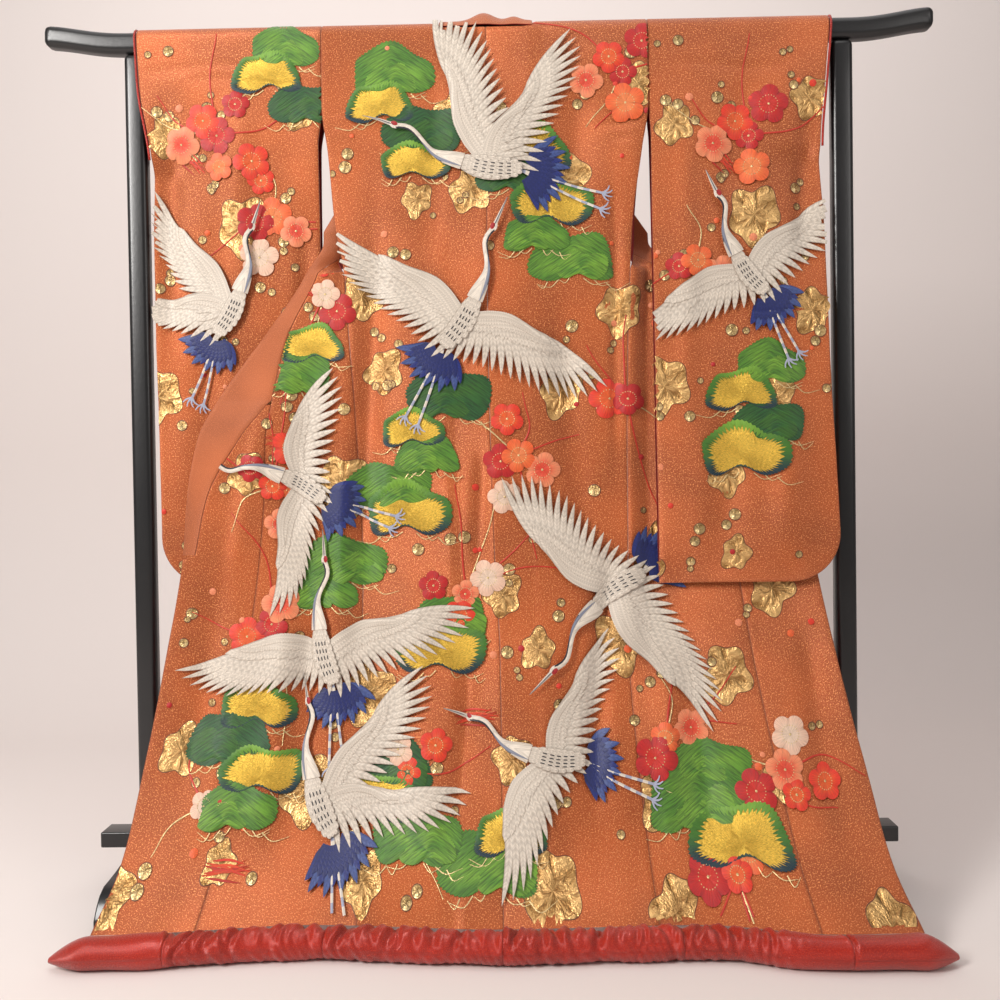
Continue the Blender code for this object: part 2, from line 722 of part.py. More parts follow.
def build():
    for old in list(bpy.data.objects):
        bpy.data.objects.remove(old)
    parts = [make_rail(), make_stretcher(), make_neck_collar()]
    for side in (-1, 1):
        parts += [make_post(side), make_foot(side), make_back(side)]
        parts += make_front(side)
        parts += [make_sleeve_half(side, face) for face in (-1, 1)]
        parts += [make_cuff_roll(side, face) for face in (-1, 1)]
    parts += [make_roll(index) for index in range(6)]
    stand_on_origin(parts)


build()
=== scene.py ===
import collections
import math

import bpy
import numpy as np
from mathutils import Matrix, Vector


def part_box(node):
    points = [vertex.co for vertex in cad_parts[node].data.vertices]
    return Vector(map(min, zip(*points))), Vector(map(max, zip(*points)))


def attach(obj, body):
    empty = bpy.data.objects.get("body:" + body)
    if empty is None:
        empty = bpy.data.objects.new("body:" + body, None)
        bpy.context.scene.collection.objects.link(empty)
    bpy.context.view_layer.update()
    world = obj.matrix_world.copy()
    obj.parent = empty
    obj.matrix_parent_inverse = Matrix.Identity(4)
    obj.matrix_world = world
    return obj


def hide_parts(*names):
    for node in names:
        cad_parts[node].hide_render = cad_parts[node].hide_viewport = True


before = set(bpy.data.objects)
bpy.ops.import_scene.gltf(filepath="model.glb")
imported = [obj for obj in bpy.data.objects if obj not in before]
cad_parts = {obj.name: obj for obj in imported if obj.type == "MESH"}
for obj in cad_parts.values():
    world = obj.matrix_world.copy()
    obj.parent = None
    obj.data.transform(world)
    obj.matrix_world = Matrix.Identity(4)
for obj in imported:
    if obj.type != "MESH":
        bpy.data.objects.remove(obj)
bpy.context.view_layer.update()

# %% [markdown]
# # An uchikake wedding kimono on its stand
#
# The frame gives the stand and a plain solid for each length of cloth. Here the cloth gets its folds, its
# brocade and its needlework. An uchikake is sewn from long straight lengths of silk, so the cloth is made
# as thin closed shells on a fine grid: a grid can be pushed into soft folds by a formula, and the same
# formula then tells where each stitched crane, pine and plum blossom lies.

low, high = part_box("stand_rail")
RAIL_Y = (low.y + high.y) / 2
print("the rail's axis is at y =", round(RAIL_Y, 4))

# %% [markdown]
# ## The camera
#
# The camera comes first, so that each later step can be looked at. It stands in front of the hung garment
# at half its height and looks almost level, turned by about one degree.

# %% Camera
CAMERA_PLACE = (0.0462, -1.8765 + RAIL_Y, 0.7504)
YAW, PITCH, ROLL = 0.0171, -0.0171, 0.0141


def turned(yaw, pitch, roll):
    """Columns are right, forward and up."""
    about_z = Matrix.Rotation(yaw, 3, "Z")
    about_x = Matrix.Rotation(pitch, 3, "X")
    about_y = Matrix.Rotation(roll, 3, "Y")
    return about_z @ about_x @ about_y


axes = turned(YAW, PITCH, ROLL)
lens = bpy.data.cameras.new("camera")
lens.lens = 36.0
lens.sensor_width = 36.0
camera = bpy.data.objects.new("camera", lens)
right, ahead, up = axes.col[0], axes.col[1], axes.col[2]
pose = Matrix((right, up, -ahead)).transposed().to_4x4()
pose.translation = CAMERA_PLACE
camera.matrix_world = pose
bpy.context.collection.objects.link(camera)
bpy.context.scene.camera = camera
print("camera at", CAMERA_PLACE)

# %% [markdown]
# ## The cut and the hang
#
# These tables repeat the frame's: where the long seams run, how far the cloth stands forward of the rail,
# and how each front turns back on itself behind it. A smooth curve goes through each column.

# %% Sizes of the cloth and the stand
WALL = 0.0020
SEAM = 0.0003
RAIL_MIDDLE = 1.580
DRAPE_DEPTH = 0.0230
DRAPE_RISE = 0.0245
NECK_HALF = 0.092
SLEEVE_BOTTOM = 0.566
SLEEVE_CORNER = 0.090
CUFF_BOTTOM = 1.360
ARMHOLE_BOTTOM = 1.448
HEM_HEIGHT = 0.040
ROLL_BACK = 0.027
COLLAR_END = 0.620
OKUMI_TOP = 0.905
FLAT_AGAIN = 1.140

SEAMS = (
    # height, edge_l, collar_l, okumi_l, side_l, middle, side_r, okumi_r, collar_r, edge_r
    (1.604, -0.320, -0.318, -0.312, -0.304, 0.000, 0.297, 0.300, 0.304, 0.306),
    (1.448, -0.318, -0.315, -0.309, -0.304, 0.000, 0.297, 0.299, 0.302, 0.304),
    (1.360, -0.312, -0.308, -0.301, -0.293, -0.001, 0.284, 0.289, 0.295, 0.300),
    (1.230, -0.300, -0.296, -0.290, -0.282, -0.002, 0.265, 0.276, 0.288, 0.294),
    (1.140, -0.335, -0.314, -0.314, -0.266, -0.003, 0.259, 0.318, 0.318, 0.350),
    (1.030, -0.409, -0.368, -0.368, -0.258, -0.003, 0.253, 0.362, 0.362, 0.432),
    (0.920, -0.492, -0.398, -0.398, -0.250, -0.002, 0.250, 0.398, 0.398, 0.505),
    (0.840, -0.537, -0.460, -0.412, -0.246, -0.001, 0.248, 0.416, 0.470, 0.548),
    (0.730, -0.558, -0.522, -0.416, -0.240, 0.001, 0.247, 0.430, 0.532, 0.572),
    (0.620, -0.566, -0.545, -0.425, -0.237, 0.004, 0.246, 0.442, 0.566, 0.584),
    (0.440, -0.592, -0.592, -0.445, -0.236, 0.012, 0.243, 0.464, 0.612, 0.612),
    (0.250, -0.614, -0.614, -0.459, -0.231, 0.013, 0.252, 0.488, 0.640, 0.640),
    (0.120, -0.623, -0.623, -0.468, -0.229, 0.014, 0.260, 0.501, 0.652, 0.652),
    (0.040, -0.642, -0.642, -0.479, -0.222, 0.015, 0.265, 0.513, 0.672, 0.672),
)
SEAM_NAMES = (
    "edge_l", "collar_l", "okumi_l", "side_l", "middle", "side_r", "okumi_r", "collar_r", "edge_r",
)

SWEEP = (
    # height, forward, drawn_back
    (1.580, 0.0235, 0.028),
    (1.230, 0.0360, 0.028),
    (1.030, 0.0440, 0.021),
    (0.840, 0.0510, 0.015),
    (0.620, 0.0620, 0.013),
    (0.530, 0.0720, 0.009),
    (0.440, 0.0880, 0.003),
    (0.345, 0.1110, 0.000),
    (0.250, 0.1480, 0.000),
    (0.160, 0.1960, 0.000),
    (0.100, 0.2420, 0.000),
    (0.040, 0.3020, 0.000),
)

HEM_LINE = (
    # x, forward
    (-0.690, 0.340),
    (-0.550, 0.332),
    (-0.300, 0.304),
    (0.010, 0.325),
    (0.330, 0.313),
    (0.530, 0.350),
    (0.710, 0.346),
)

FRONT_TURN = {
    -1: (
        # height, outer_x, outer_y, pull_x, pull_y, turn_x, turn_y, inner_x, inner_y, inner_height
        (1.580, -0.303, 0.0230, -0.232, 0.0230, -0.161, 0.0230, -0.090, 0.0230, 1.580),
        (1.540, -0.303, 0.0245, -0.235, 0.0340, -0.165, 0.0360, -0.112, 0.0290, 1.535),
        (1.448, -0.302, 0.0250, -0.220, 0.0750, -0.150, 0.0700, -0.168, 0.0300, 1.430),
        (1.360, -0.296, 0.0200, -0.180, 0.1000, -0.140, 0.0500, -0.225, 0.0080, 1.340),
        (1.295, -0.292, 0.0120, -0.170, 0.0900, -0.150, 0.0200, -0.268, -0.0200, 1.278),
        (1.230, -0.289, 0.0050, -0.190, 0.0850, -0.180, -0.0080, -0.302, -0.0390, 1.215),
    ),
    1: (
        (1.580, 0.296, 0.0230, 0.228, 0.0230, 0.160, 0.0230, 0.092, 0.0230, 1.580),
        (1.540, 0.296, 0.0245, 0.230, 0.0340, 0.165, 0.0360, 0.112, 0.0290, 1.535),
        (1.448, 0.295, 0.0250, 0.250, 0.0300, 0.200, 0.0640, 0.168, 0.0580, 1.430),
        (1.360, 0.286, 0.0200, 0.190, 0.0180, 0.120, 0.0980, 0.225, 0.0640, 1.340),
        (1.295, 0.277, 0.0040, 0.180, 0.0020, 0.130, 0.0900, 0.262, 0.0380, 1.278),
        (1.230, 0.269, -0.0200, 0.190, -0.0120, 0.180, 0.0600, 0.298, 0.0130, 1.215),
    ),
}

SLEEVES = {
    -1: {"inner": -0.3043, "free": -0.3130, "outer": -0.648},
    1: {"inner": 0.2973, "free": 0.3005, "outer": 0.630},
}
SLEEVE_HANG = (
    # height, forward_l, forward_r, drawn_in_l, drawn_in_r
    (1.604, 0.000, 0.000, 0.000, 0.000),
    (1.580, 0.000, 0.000, 0.001, 0.001),
    (1.500, 0.001, 0.003, 0.004, 0.008),
    (1.350, 0.003, 0.013, 0.023, 0.019),
    (1.200, 0.004, 0.026, 0.020, 0.014),
    (0.900, 0.005, 0.046, 0.023, 0.009),
    (0.700, 0.006, 0.060, 0.025, 0.002),
    (0.560, 0.006, 0.071, 0.025, 0.000),
)


# %% Reading a table
def smooth(t):
    """0 to 1 with level ends."""
    t = np.clip(t, 0.0, 1.0)
    return t * t * (3.0 - 2.0 * t)


def read(rows, column, at):
    """A column's values on the smooth curve through the rows, whose first column is the place."""
    table = np.array(sorted(rows), float)
    places, values = table[:, 0], table[:, column]
    at = np.clip(np.asarray(at, float), places[0], places[-1])
    i = np.clip(np.searchsorted(places, at, side="right") - 1, 0, len(places) - 2)
    widths = np.diff(places)
    slopes = np.diff(values) / widths
    before = np.concatenate([slopes[:1], slopes])
    after = np.concatenate([slopes, slopes[-1:]])
    total = np.where(before * after > 0, before + after, 1.0)
    tangents = np.where(before * after > 0, 2 * before * after / total, 0.0)
    width = widths[i]
    t = (at - places[i]) / width
    return (
        values[i] * (1 + 2 * t) * (1 - t) ** 2
        + values[i + 1] * t * t * (3 - 2 * t)
        + tangents[i] * width * t * (1 - t) ** 2
        - tangents[i + 1] * width * t * t * (1 - t)
    )


def seam_x(name, height):
    return read(SEAMS, SEAM_NAMES.index(name) + 1, height)


def half_gap(height):
    """Half the room inside a sleeve where it is open."""
    return DRAPE_DEPTH + (0.0105 - DRAPE_DEPTH) * smooth((RAIL_MIDDLE - height) / 0.40)


print("the back is", round(float(seam_x("side_r", 0.5) - seam_x("side_l", 0.5)), 3), "m wide at the knee")

# %% [markdown]
# ## Folds
#
# Heavy silk that hangs free falls in a few long soft troughs and hardly creases. Each trough here is a line
# down the cloth with a width and a depth, and it fades in and out at its ends. Short level creases stand
# near the armholes, where the weight pulls, and a very slight unevenness keeps the rest from looking flat.

# %% Fold tables
BODY_FOLDS = (
    # top_x, top_z, foot_x, foot_z, width, depth
    (-0.205, 1.36, -0.235, 0.42, 0.022, 0.0060),
    (-0.262, 1.16, -0.275, 0.30, 0.020, -0.0040),
    (-0.020, 0.84, -0.018, 0.56, 0.016, 0.0040),
    (0.120, 1.10, 0.175, 0.62, 0.028, 0.0075),
    (0.212, 0.68, 0.170, 0.14, 0.022, 0.0080),
    (0.226, 1.34, 0.232, 0.70, 0.010, 0.0040),
    (-0.045, 0.44, -0.060, 0.16, 0.018, 0.0050),
    (0.085, 0.55, 0.070, 0.10, 0.050, -0.0060),
    (-0.130, 0.60, -0.120, 0.08, 0.045, -0.0050),
    (-0.330, 0.70, -0.345, 0.10, 0.024, 0.0060),
    (-0.375, 0.56, -0.400, 0.10, 0.022, -0.0040),
    (-0.500, 0.72, -0.540, 0.12, 0.030, 0.0060),
    (0.345, 0.50, 0.375, 0.10, 0.026, 0.0060),
    (0.560, 0.52, 0.590, 0.10, 0.028, 0.0060),
    (0.300, 0.44, 0.310, 0.08, 0.016, -0.0040),
    (-0.330, 1.02, -0.360, 0.60, 0.030, 0.0050),
    (-0.420, 0.92, -0.470, 0.55, 0.022, -0.0040),
    (0.010, 1.56, 0.060, 0.95, 0.060, -0.0040),
    (-0.090, 1.56, -0.110, 1.10, 0.030, 0.0030),
    (0.160, 1.52, 0.170, 1.20, 0.030, 0.0030),
)
SLEEVE_FOLDS = {
    -1: (
        (-0.600, 1.52, -0.590, 0.95, 0.022, 0.0060),
        (-0.470, 1.50, -0.450, 1.05, 0.030, -0.0040),
        (-0.345, 1.30, -0.352, 0.70, 0.016, 0.0040),
        (-0.530, 1.05, -0.520, 0.60, 0.030, 0.0040),
    ),
    1: (
        (0.590, 1.50, 0.575, 1.10, 0.020, 0.0050),
        (0.470, 1.52, 0.455, 1.22, 0.028, 0.0050),
        (0.360, 1.50, 0.365, 0.80, 0.020, -0.0030),
        (0.540, 1.00, 0.545, 0.60, 0.030, -0.0040),
        (0.430, 0.95, 0.425, 0.58, 0.030, 0.0030),
    ),
}
CREASES = (
    # z, from_x, to_x, width, depth
    (1.420, -0.310, -0.200, 0.005, 0.0022),
    (1.392, -0.310, -0.225, 0.004, 0.0016),
    (1.412, 0.190, 0.305, 0.005, 0.0022),
    (1.385, 0.215, 0.305, 0.004, 0.0016),
    (1.300, 0.240, 0.300, 0.005, 0.0014),
    (1.525, -0.640, -0.420, 0.008, 0.0020),
    (1.500, -0.560, -0.330, 0.006, 0.0016),
    (1.512, 0.330, 0.560, 0.007, 0.0020),
    (1.060, 0.310, 0.620, 0.004, 0.0014),
    (1.075, -0.310, -0.190, 0.004, 0.0010),
    (0.722, 0.330, 0.600, 0.003, 0.0010),
)


FOLD_DEPTH = 1.75      # how far the hung cloth deepens each fold


def trough_sum(folds, x, z):
    total = np.zeros(np.broadcast(x, z).shape)
    for top_x, top_z, foot_x, foot_z, width, depth in folds:
        t = (top_z - z) / (top_z - foot_z)
        middle = top_x + (foot_x - top_x) * t + 0.004 * np.sin(5.0 * t + 40.0 * width)
        fade = smooth(t / 0.3) * smooth((1 - t) / 0.3)
        total -= FOLD_DEPTH * depth * fade * np.exp(-(((x - middle) / width) ** 2))
    return total


def unevenness(x, z):
    waves = np.sin(21 * x + 9 * z + 1.3) + np.sin(-33 * x + 17 * z + 0.4) + np.sin(11 * x - 29 * z)
    small = np.sin(71 * x + 38 * z) * np.sin(47 * z - 26 * x + 0.9)
    return 0.0007 * waves + 0.0004 * small


def creases(x, z):
    total = np.zeros(np.broadcast(x, z).shape)
    for level, start, stop, width, depth in CREASES:
        reach = smooth((x - start) / 0.03) * smooth((stop - x) / 0.03)
        bend = level + 0.006 * np.sin(22 * x)
        total -= depth * reach * np.exp(-(((z - bend) / width) ** 2))
    return total


print(len(BODY_FOLDS) + sum(len(f) for f in SLEEVE_FOLDS.values()), "long folds,", len(CREASES), "creases")


# %% How far each cloth stands forward
def body_front(x, z):
    """The outer face of the back and of the opened fronts, as a distance in front of the rail's axis."""
    x, z = np.broadcast_arrays(np.asarray(x, float), np.asarray(z, float))
    level = np.minimum(z, RAIL_MIDDLE)
    base = read(SWEEP, 1, level)
    hem = read(HEM_LINE, 1, x) - ROLL_BACK - read(SWEEP, 1, HEM_HEIGHT)
    base = base + smooth((0.45 - level) / 0.41) * hem
    base = base - read(SWEEP, 2, level) * smooth((x - seam_x("side_r", level) - 0.004) / 0.036)
    calm = smooth((RAIL_MIDDLE - z) / 0.06) * (0.25 + 0.75 * smooth((z - HEM_HEIGHT) / 0.06))
    beside_sleeve = 1 - 0.75 * smooth((x - 0.262) / 0.02) * smooth((z - 0.50) / 0.06)
    moved = trough_sum(BODY_FOLDS, x, z) + creases(x, z) + unevenness(x, z)
    above = np.clip((z - RAIL_MIDDLE) / DRAPE_RISE, 0.0, 0.985)
    return (base + moved * calm * beside_sleeve) * np.sqrt(1 - above**2)


def sleeve_middle(side, x, z):
    """How far the middle of a sleeve stands forward."""
    hang = read(SLEEVE_HANG, 1 if side < 0 else 2, z)
    calm = smooth((RAIL_MIDDLE - z) / 0.08)
    return hang + (trough_sum(SLEEVE_FOLDS[side], x, z) + creases(x, z) + unevenness(x + 1.7, z)) * calm


def sleeve_outer(side, z):
    return SLEEVES[side]["outer"] - side * read(SLEEVE_HANG, 3 if side < 0 else 4, z)


def corner_inset(z):
    below = np.maximum(SLEEVE_BOTTOM + SLEEVE_CORNER - z, 0.0)
    return SLEEVE_CORNER - np.sqrt(np.maximum(SLEEVE_CORNER**2 - below**2, 0.0))


def sleeve_edges(side, z):
    free = smooth((ARMHOLE_BOTTOM - z) / 0.07)
    near = SLEEVES[side]["inner"] + (SLEEVES[side]["free"] - SLEEVES[side]["inner"]) * free
    return near, sleeve_outer(side, z) - side * corner_inset(z)


def sleeve_apart(side, x, z):
    """Half the distance between a sleeve's two faces."""
    near, far = sleeve_edges(side, z)
    t = np.clip((x - near) / (far - near), 0.0, 1.0)
    edge_sewn = smooth((CUFF_BOTTOM + 0.01 - z) / 0.04)
    bottom_sewn = smooth((SLEEVE_BOTTOM + 0.075 - z) / 0.073)
    closed = np.maximum(edge_sewn * smooth((t - 0.62) / 0.38), bottom_sewn)
    return half_gap(z) * (1 - closed) + (WALL + SEAM) / 2 * closed


def sleeve_front(side):
    """The outer face of a sleeve's nearer half."""

    def front(x, z):
        x, z = np.broadcast_arrays(np.asarray(x, float), np.asarray(z, float))
        level = np.minimum(z, RAIL_MIDDLE)
        above = np.clip((z - RAIL_MIDDLE) / DRAPE_RISE, 0.0, 0.985)
        return sleeve_middle(side, x, level) + sleeve_apart(side, x, level) * np.sqrt(1 - above**2)

    return front


def sleeve_behind(side):
    """The outer face of a sleeve's farther half, as a distance behind the rail's axis."""

    def behind(x, z):
        x, z = np.broadcast_arrays(np.asarray(x, float), np.asarray(z, float))
        level = np.minimum(z, RAIL_MIDDLE)
        above = np.clip((z - RAIL_MIDDLE) / DRAPE_RISE, 0.0, 0.985)
        return sleeve_apart(side, x, level) * np.sqrt(1 - above**2) - sleeve_middle(side, x, level)

    return behind


print("the hem stands", round(float(body_front(0.0, 0.045)), 3), "m in front of the rail")

# %% [markdown]
# ## Materials
#
# Brocade shimmers because flat gold threads cross matt silk ones: from a little way off it is a copper
# ground full of fine bright and dark grains. A weave group gives those grains and their height, and every
# cloth uses it with its own scale. Stitched silk is different: the threads lie side by side, so its grain is
# long in the stitch's direction, and each stitched piece carries a UV map whose U runs across the threads.

# %% Node helpers
def new_group(name, inputs, outputs):
    group = bpy.data.node_groups.new(name, "ShaderNodeTree")
    for title, kind, value in inputs:
        socket = group.interface.new_socket(title, in_out="INPUT", socket_type=kind)
        if value is not None:
            socket.default_value = value
    for title, kind in outputs:
        group.interface.new_socket(title, in_out="OUTPUT", socket_type=kind)
    return group, group.nodes.new("NodeGroupInput"), group.nodes.new("NodeGroupOutput")


def add(tree, kind, inputs=(), **settings):
    """A node with its settings, and each input either linked or given its value."""
    node = tree.nodes.new(kind)
    for name, value in settings.items():
        setattr(node, name, value)
    for key, value in dict(inputs).items():
        if isinstance(value, bpy.types.NodeSocket):
            tree.links.new(value, node.inputs[key])
        else:
            node.inputs[key].default_value = value
    return node


def ramp(tree, source, low, high):
    """0 below low, 1 above high."""
    inputs = {"Value": source, "From Min": low, "From Max": high}
    return add(tree, "ShaderNodeMapRange", inputs, clamp=True).outputs["Result"]


def mixed(tree, factor, first, second, kind="MIX"):
    node = add(tree, "ShaderNodeMix", {"Factor": factor}, data_type="RGBA", blend_type=kind)
    for index, value in ((6, first), (7, second)):
        if isinstance(value, bpy.types.NodeSocket):
            tree.links.new(value, node.inputs[index])
        else:
            node.inputs[index].default_value = (*value, 1.0)
    return node.outputs[2]


def maths(tree, operation, first, second=0.0):
    return add(tree, "ShaderNodeMath", {0: first, 1: second}, operation=operation).outputs[0]


# %% The weave group
weave, start, end = new_group(
    "weave",
    (
        ("Vector", "NodeSocketVector", None),
        ("Grain", "NodeSocketFloat", 400.0),
        ("Rib", "NodeSocketFloat", 350.0),
    ),
    (("Bright", "NodeSocketFloat"), ("Dark", "NodeSocketFloat"), ("Height", "NodeSocketFloat")),
)
grain_inputs = {"Vector": start.outputs["Vector"], "Scale": start.outputs["Grain"], "Detail": 2.0}
grain = add(weave, "ShaderNodeTexNoise", grain_inputs)
fine = maths(weave, "MULTIPLY", start.outputs["Grain"], 1.9)
fine_inputs = {"Vector": start.outputs["Vector"], "Scale": fine, "Detail": 1.0}
second_grain = add(weave, "ShaderNodeTexNoise", fine_inputs)
ribs = add(weave, "ShaderNodeTexWave", {"Vector": start.outputs["Vector"], "Scale": start.outputs["Rib"]})
ribs.bands_direction = "DIAGONAL"
height = maths(weave, "ADD", maths(weave, "MULTIPLY", ribs.outputs["Fac"], 0.4), grain.outputs["Fac"])
weave.links.new(ramp(weave, grain.outputs["Fac"], 0.52, 0.66), end.inputs["Bright"])
weave.links.new(ramp(weave, second_grain.outputs["Fac"], 0.50, 0.36), end.inputs["Dark"])
weave.links.new(height, end.inputs["Height"])
print("weave group:", len(weave.nodes), "nodes")

# %% The stitch group
stitch, start, end = new_group(
    "stitch",
    (
        ("Vector", "NodeSocketVector", None),
        ("Threads", "NodeSocketFloat", 420.0),
        ("Length", "NodeSocketFloat", 26.0),
    ),
    (("Shade", "NodeSocketFloat"), ("Height", "NodeSocketFloat")),
)
parts = add(stitch, "ShaderNodeSeparateXYZ", {0: start.outputs["Vector"]})
across = maths(stitch, "MULTIPLY", parts.outputs["X"], start.outputs["Threads"])
along = maths(stitch, "MULTIPLY", parts.outputs["Y"], start.outputs["Length"])
lain = add(stitch, "ShaderNodeCombineXYZ", {"X": across, "Y": along})
thread_inputs = {"Vector": lain.outputs[0], "Scale": 1.0, "Detail": 3.0, "Roughness": 0.6}
threads = add(stitch, "ShaderNodeTexNoise", thread_inputs)
stitch.links.new(ramp(stitch, threads.outputs["Fac"], 0.36, 0.62), end.inputs["Shade"])
stitch.links.new(threads.outputs["Fac"], end.inputs["Height"])
print("stitch group:", len(stitch.nodes), "nodes")


# %% Cloth materials
def new_material(name, roughness, metallic=0.0, sheen=0.0, coat=0.0):
    made = bpy.data.materials.new(name)
    made.use_nodes = True
    shader = made.node_tree.nodes["Principled BSDF"]
    shader.inputs["Roughness"].default_value = roughness
    shader.inputs["Metallic"].default_value = metallic
    shader.inputs["Sheen Weight"].default_value = sheen
    shader.inputs["Coat Weight"].default_value = coat
    return made, made.node_tree, shader


def bumped(tree, shader, height, distance, strength=1.0):
    bump = add(tree, "ShaderNodeBump", {"Height": height, "Distance": distance, "Strength": strength})
    tree.links.new(bump.outputs["Normal"], shader.inputs["Normal"])


def woven_cloth(name, ground, bright, dark, grain, rib, roughness, metallic, relief, seam_shade=(0.0, 0.0, 0.0)):
    """Cloth with a bright and a dark grain over its ground, and a painted shade in the fold of a seam."""
    made, tree, shader = new_material(name, roughness, metallic)
    shader.inputs["Sheen Weight"].default_value = 0.15
    place = add(tree, "ShaderNodeUVMap", uv_map="cloth").outputs["UV"]
    woven = add(tree, "ShaderNodeGroup", {}, node_tree=weave)
    tree.links.new(place, woven.inputs["Vector"])
    woven.inputs["Grain"].default_value = grain
    woven.inputs["Rib"].default_value = rib
    clouds = add(tree, "ShaderNodeTexNoise", {"Vector": place, "Scale": 5.0, "Detail": 2.0})
    cloudy = ramp(tree, clouds.outputs["Fac"], 0.40, 0.62)
    deeper = tuple(0.66 * c for c in ground)
    colour = mixed(tree, cloudy, deeper, ground)
    colour = mixed(tree, woven.outputs["Bright"], colour, bright)
    colour = mixed(tree, maths(tree, "MULTIPLY", woven.outputs["Dark"], 0.75), colour, dark)
    # Painted shade: the marked seam columns are darkened towards the given shade colour, or towards black
    # when none is given.
    seam = add(tree, "ShaderNodeAttribute", attribute_name="seam").outputs["Fac"]
    colour = mixed(tree, maths(tree, "MULTIPLY", seam, 0.45), colour, seam_shade)
    tree.links.new(colour, shader.inputs["Base Color"])
    rough = maths(tree, "ADD", maths(tree, "MULTIPLY", woven.outputs["Dark"], 0.12), roughness)
    tree.links.new(rough, shader.inputs["Roughness"])
    bumped(tree, shader, woven.outputs["Height"], relief)
    return made


brocade = woven_cloth(
    "brocade", (0.56, 0.118, 0.024), (0.86, 0.33, 0.11), (0.34, 0.060, 0.012), 400, 330, 0.38, 0.32, 0.0006,
    seam_shade=(0.10, 0.022, 0.008),
)
collar_silk = woven_cloth(
    "collar_silk", (0.58, 0.150, 0.045), (0.68, 0.21, 0.070), (0.42, 0.095, 0.028),
    700, 600, 0.48, 0.10, 0.0003,
    seam_shade=(0.22, 0.06, 0.03),
)
lining = woven_cloth(
    "lining_silk", (0.42, 0.020, 0.014), (0.55, 0.040, 0.025), (0.25, 0.008, 0.006),
    900, 700, 0.45, 0.0, 0.0002,
)
hem_satin = woven_cloth(
    "hem_satin", (0.48, 0.018, 0.007), (0.70, 0.055, 0.020), (0.30, 0.008, 0.003),
    520, 480, 0.22, 0.12, 0.0004,
    seam_shade=(0.16, 0.006, 0.004),
)
print("cloths:", brocade.name, collar_silk.name, lining.name, hem_satin.name)


# %% Thread materials
def thread_material(name, roughness, metallic, threads, length, depth, relief):
    """Stitched thread: the colour comes from the needlework, the grain from the stitch group."""
    made, tree, shader = new_material(name, roughness, metallic, sheen=0.0 if metallic else 0.2)
    place = add(tree, "ShaderNodeUVMap", uv_map="stitches").outputs["UV"]
    sewn = add(tree, "ShaderNodeGroup", {}, node_tree=stitch)
    tree.links.new(place, sewn.inputs["Vector"])
    sewn.inputs["Threads"].default_value = threads
    sewn.inputs["Length"].default_value = length
    dye = add(tree, "ShaderNodeAttribute", attribute_name="thread").outputs["Color"]
    shade = maths(tree, "ADD", maths(tree, "MULTIPLY", sewn.outputs["Shade"], depth), 1.0 - depth)
    grey = add(tree, "ShaderNodeCombineColor", {"Red": shade, "Green": shade, "Blue": shade}).outputs[0]
    tree.links.new(mixed(tree, 1.0, dye, grey, "MULTIPLY"), shader.inputs["Base Color"])
    bumped(tree, shader, sewn.outputs["Height"], relief)
    return made


silk_thread = thread_material("silk_thread", 0.48, 0.0, 520, 40, 0.30, 0.0009)
wool_green = thread_material("pine_thread", 0.50, 0.0, 330, 34, 0.62, 0.0012)
gold_thread = thread_material("gold_thread", 0.36, 0.75, 480, 220, 0.45, 0.0016)
THREADS = (silk_thread, wool_green, gold_thread)
SILK, PINE, GOLD = 0, 1, 2

foil, tree, shader = new_material("gold_foil", 0.34, 0.85)
place = add(tree, "ShaderNodeUVMap", uv_map="stitches").outputs["UV"]
rumple = add(tree, "ShaderNodeTexNoise", {"Vector": place, "Scale": 38.0, "Detail": 3.0, "Distortion": 0.6})
fleck = add(tree, "ShaderNodeTexNoise", {"Vector": place, "Scale": 420.0, "Detail": 1.0})
dye = add(tree, "ShaderNodeAttribute", attribute_name="thread").outputs["Color"]
tarnish = mixed(tree, ramp(tree, rumple.outputs["Fac"], 0.36, 0.60), (0.42, 0.34, 0.26), (1.0, 1.0, 1.0))
colour = mixed(tree, 1.0, dye, tarnish, "MULTIPLY")
flecked = maths(tree, "MULTIPLY", ramp(tree, fleck.outputs["Fac"], 0.5, 0.64), 0.3)
colour = mixed(tree, flecked, colour, (0.9, 0.62, 0.25))
tree.links.new(colour, shader.inputs["Base Color"])
foil_height = maths(tree, "ADD", rumple.outputs["Fac"], maths(tree, "MULTIPLY", fleck.outputs["Fac"], 0.10))
bumped(tree, shader, foil_height, 0.012)
print("threads:", [m.name for m in THREADS], "and", foil.name)

# %% Lacquer
lacquer, tree, shader = new_material("black_lacquer", 0.34, 0.0, coat=0.25)
shader.inputs["Coat Roughness"].default_value = 0.16
place = add(tree, "ShaderNodeTexCoord").outputs["Object"]
depth_clouds = add(tree, "ShaderNodeTexNoise", {"Vector": place, "Scale": 9.0, "Detail": 3.0})
black = mixed(tree, depth_clouds.outputs["Fac"], (0.004, 0.004, 0.005), (0.012, 0.011, 0.011))
tree.links.new(black, shader.inputs["Base Color"])
orange_peel = add(tree, "ShaderNodeTexNoise", {"Vector": place, "Scale": 160.0, "Detail": 1.0})
bumped(tree, shader, orange_peel.outputs["Fac"], 0.00015)
print("lacquer:", lacquer.name)

# %% [markdown]
# ## The lengths of cloth
#
# Every length is one closed shell 2 mm thick, which stands for brocade, interlining and lining together.
# The outer face is brocade, and the inner face and the rim are red lining. A grid of the middle surface is
# worked out first, and both faces are laid out from it along its normals. The two columns next to a long
# edge stand close together and dip a little, which draws the seam.

# %% A shell from a grid
PULLED_IN = 0.0009


def grid_normals(rows):
    across = np.gradient(rows, axis=1)
    down = np.gradient(rows, axis=0)
    normals = np.cross(across, down)
    return normals / np.maximum(np.linalg.norm(normals, axis=2, keepdims=True), 1e-12)


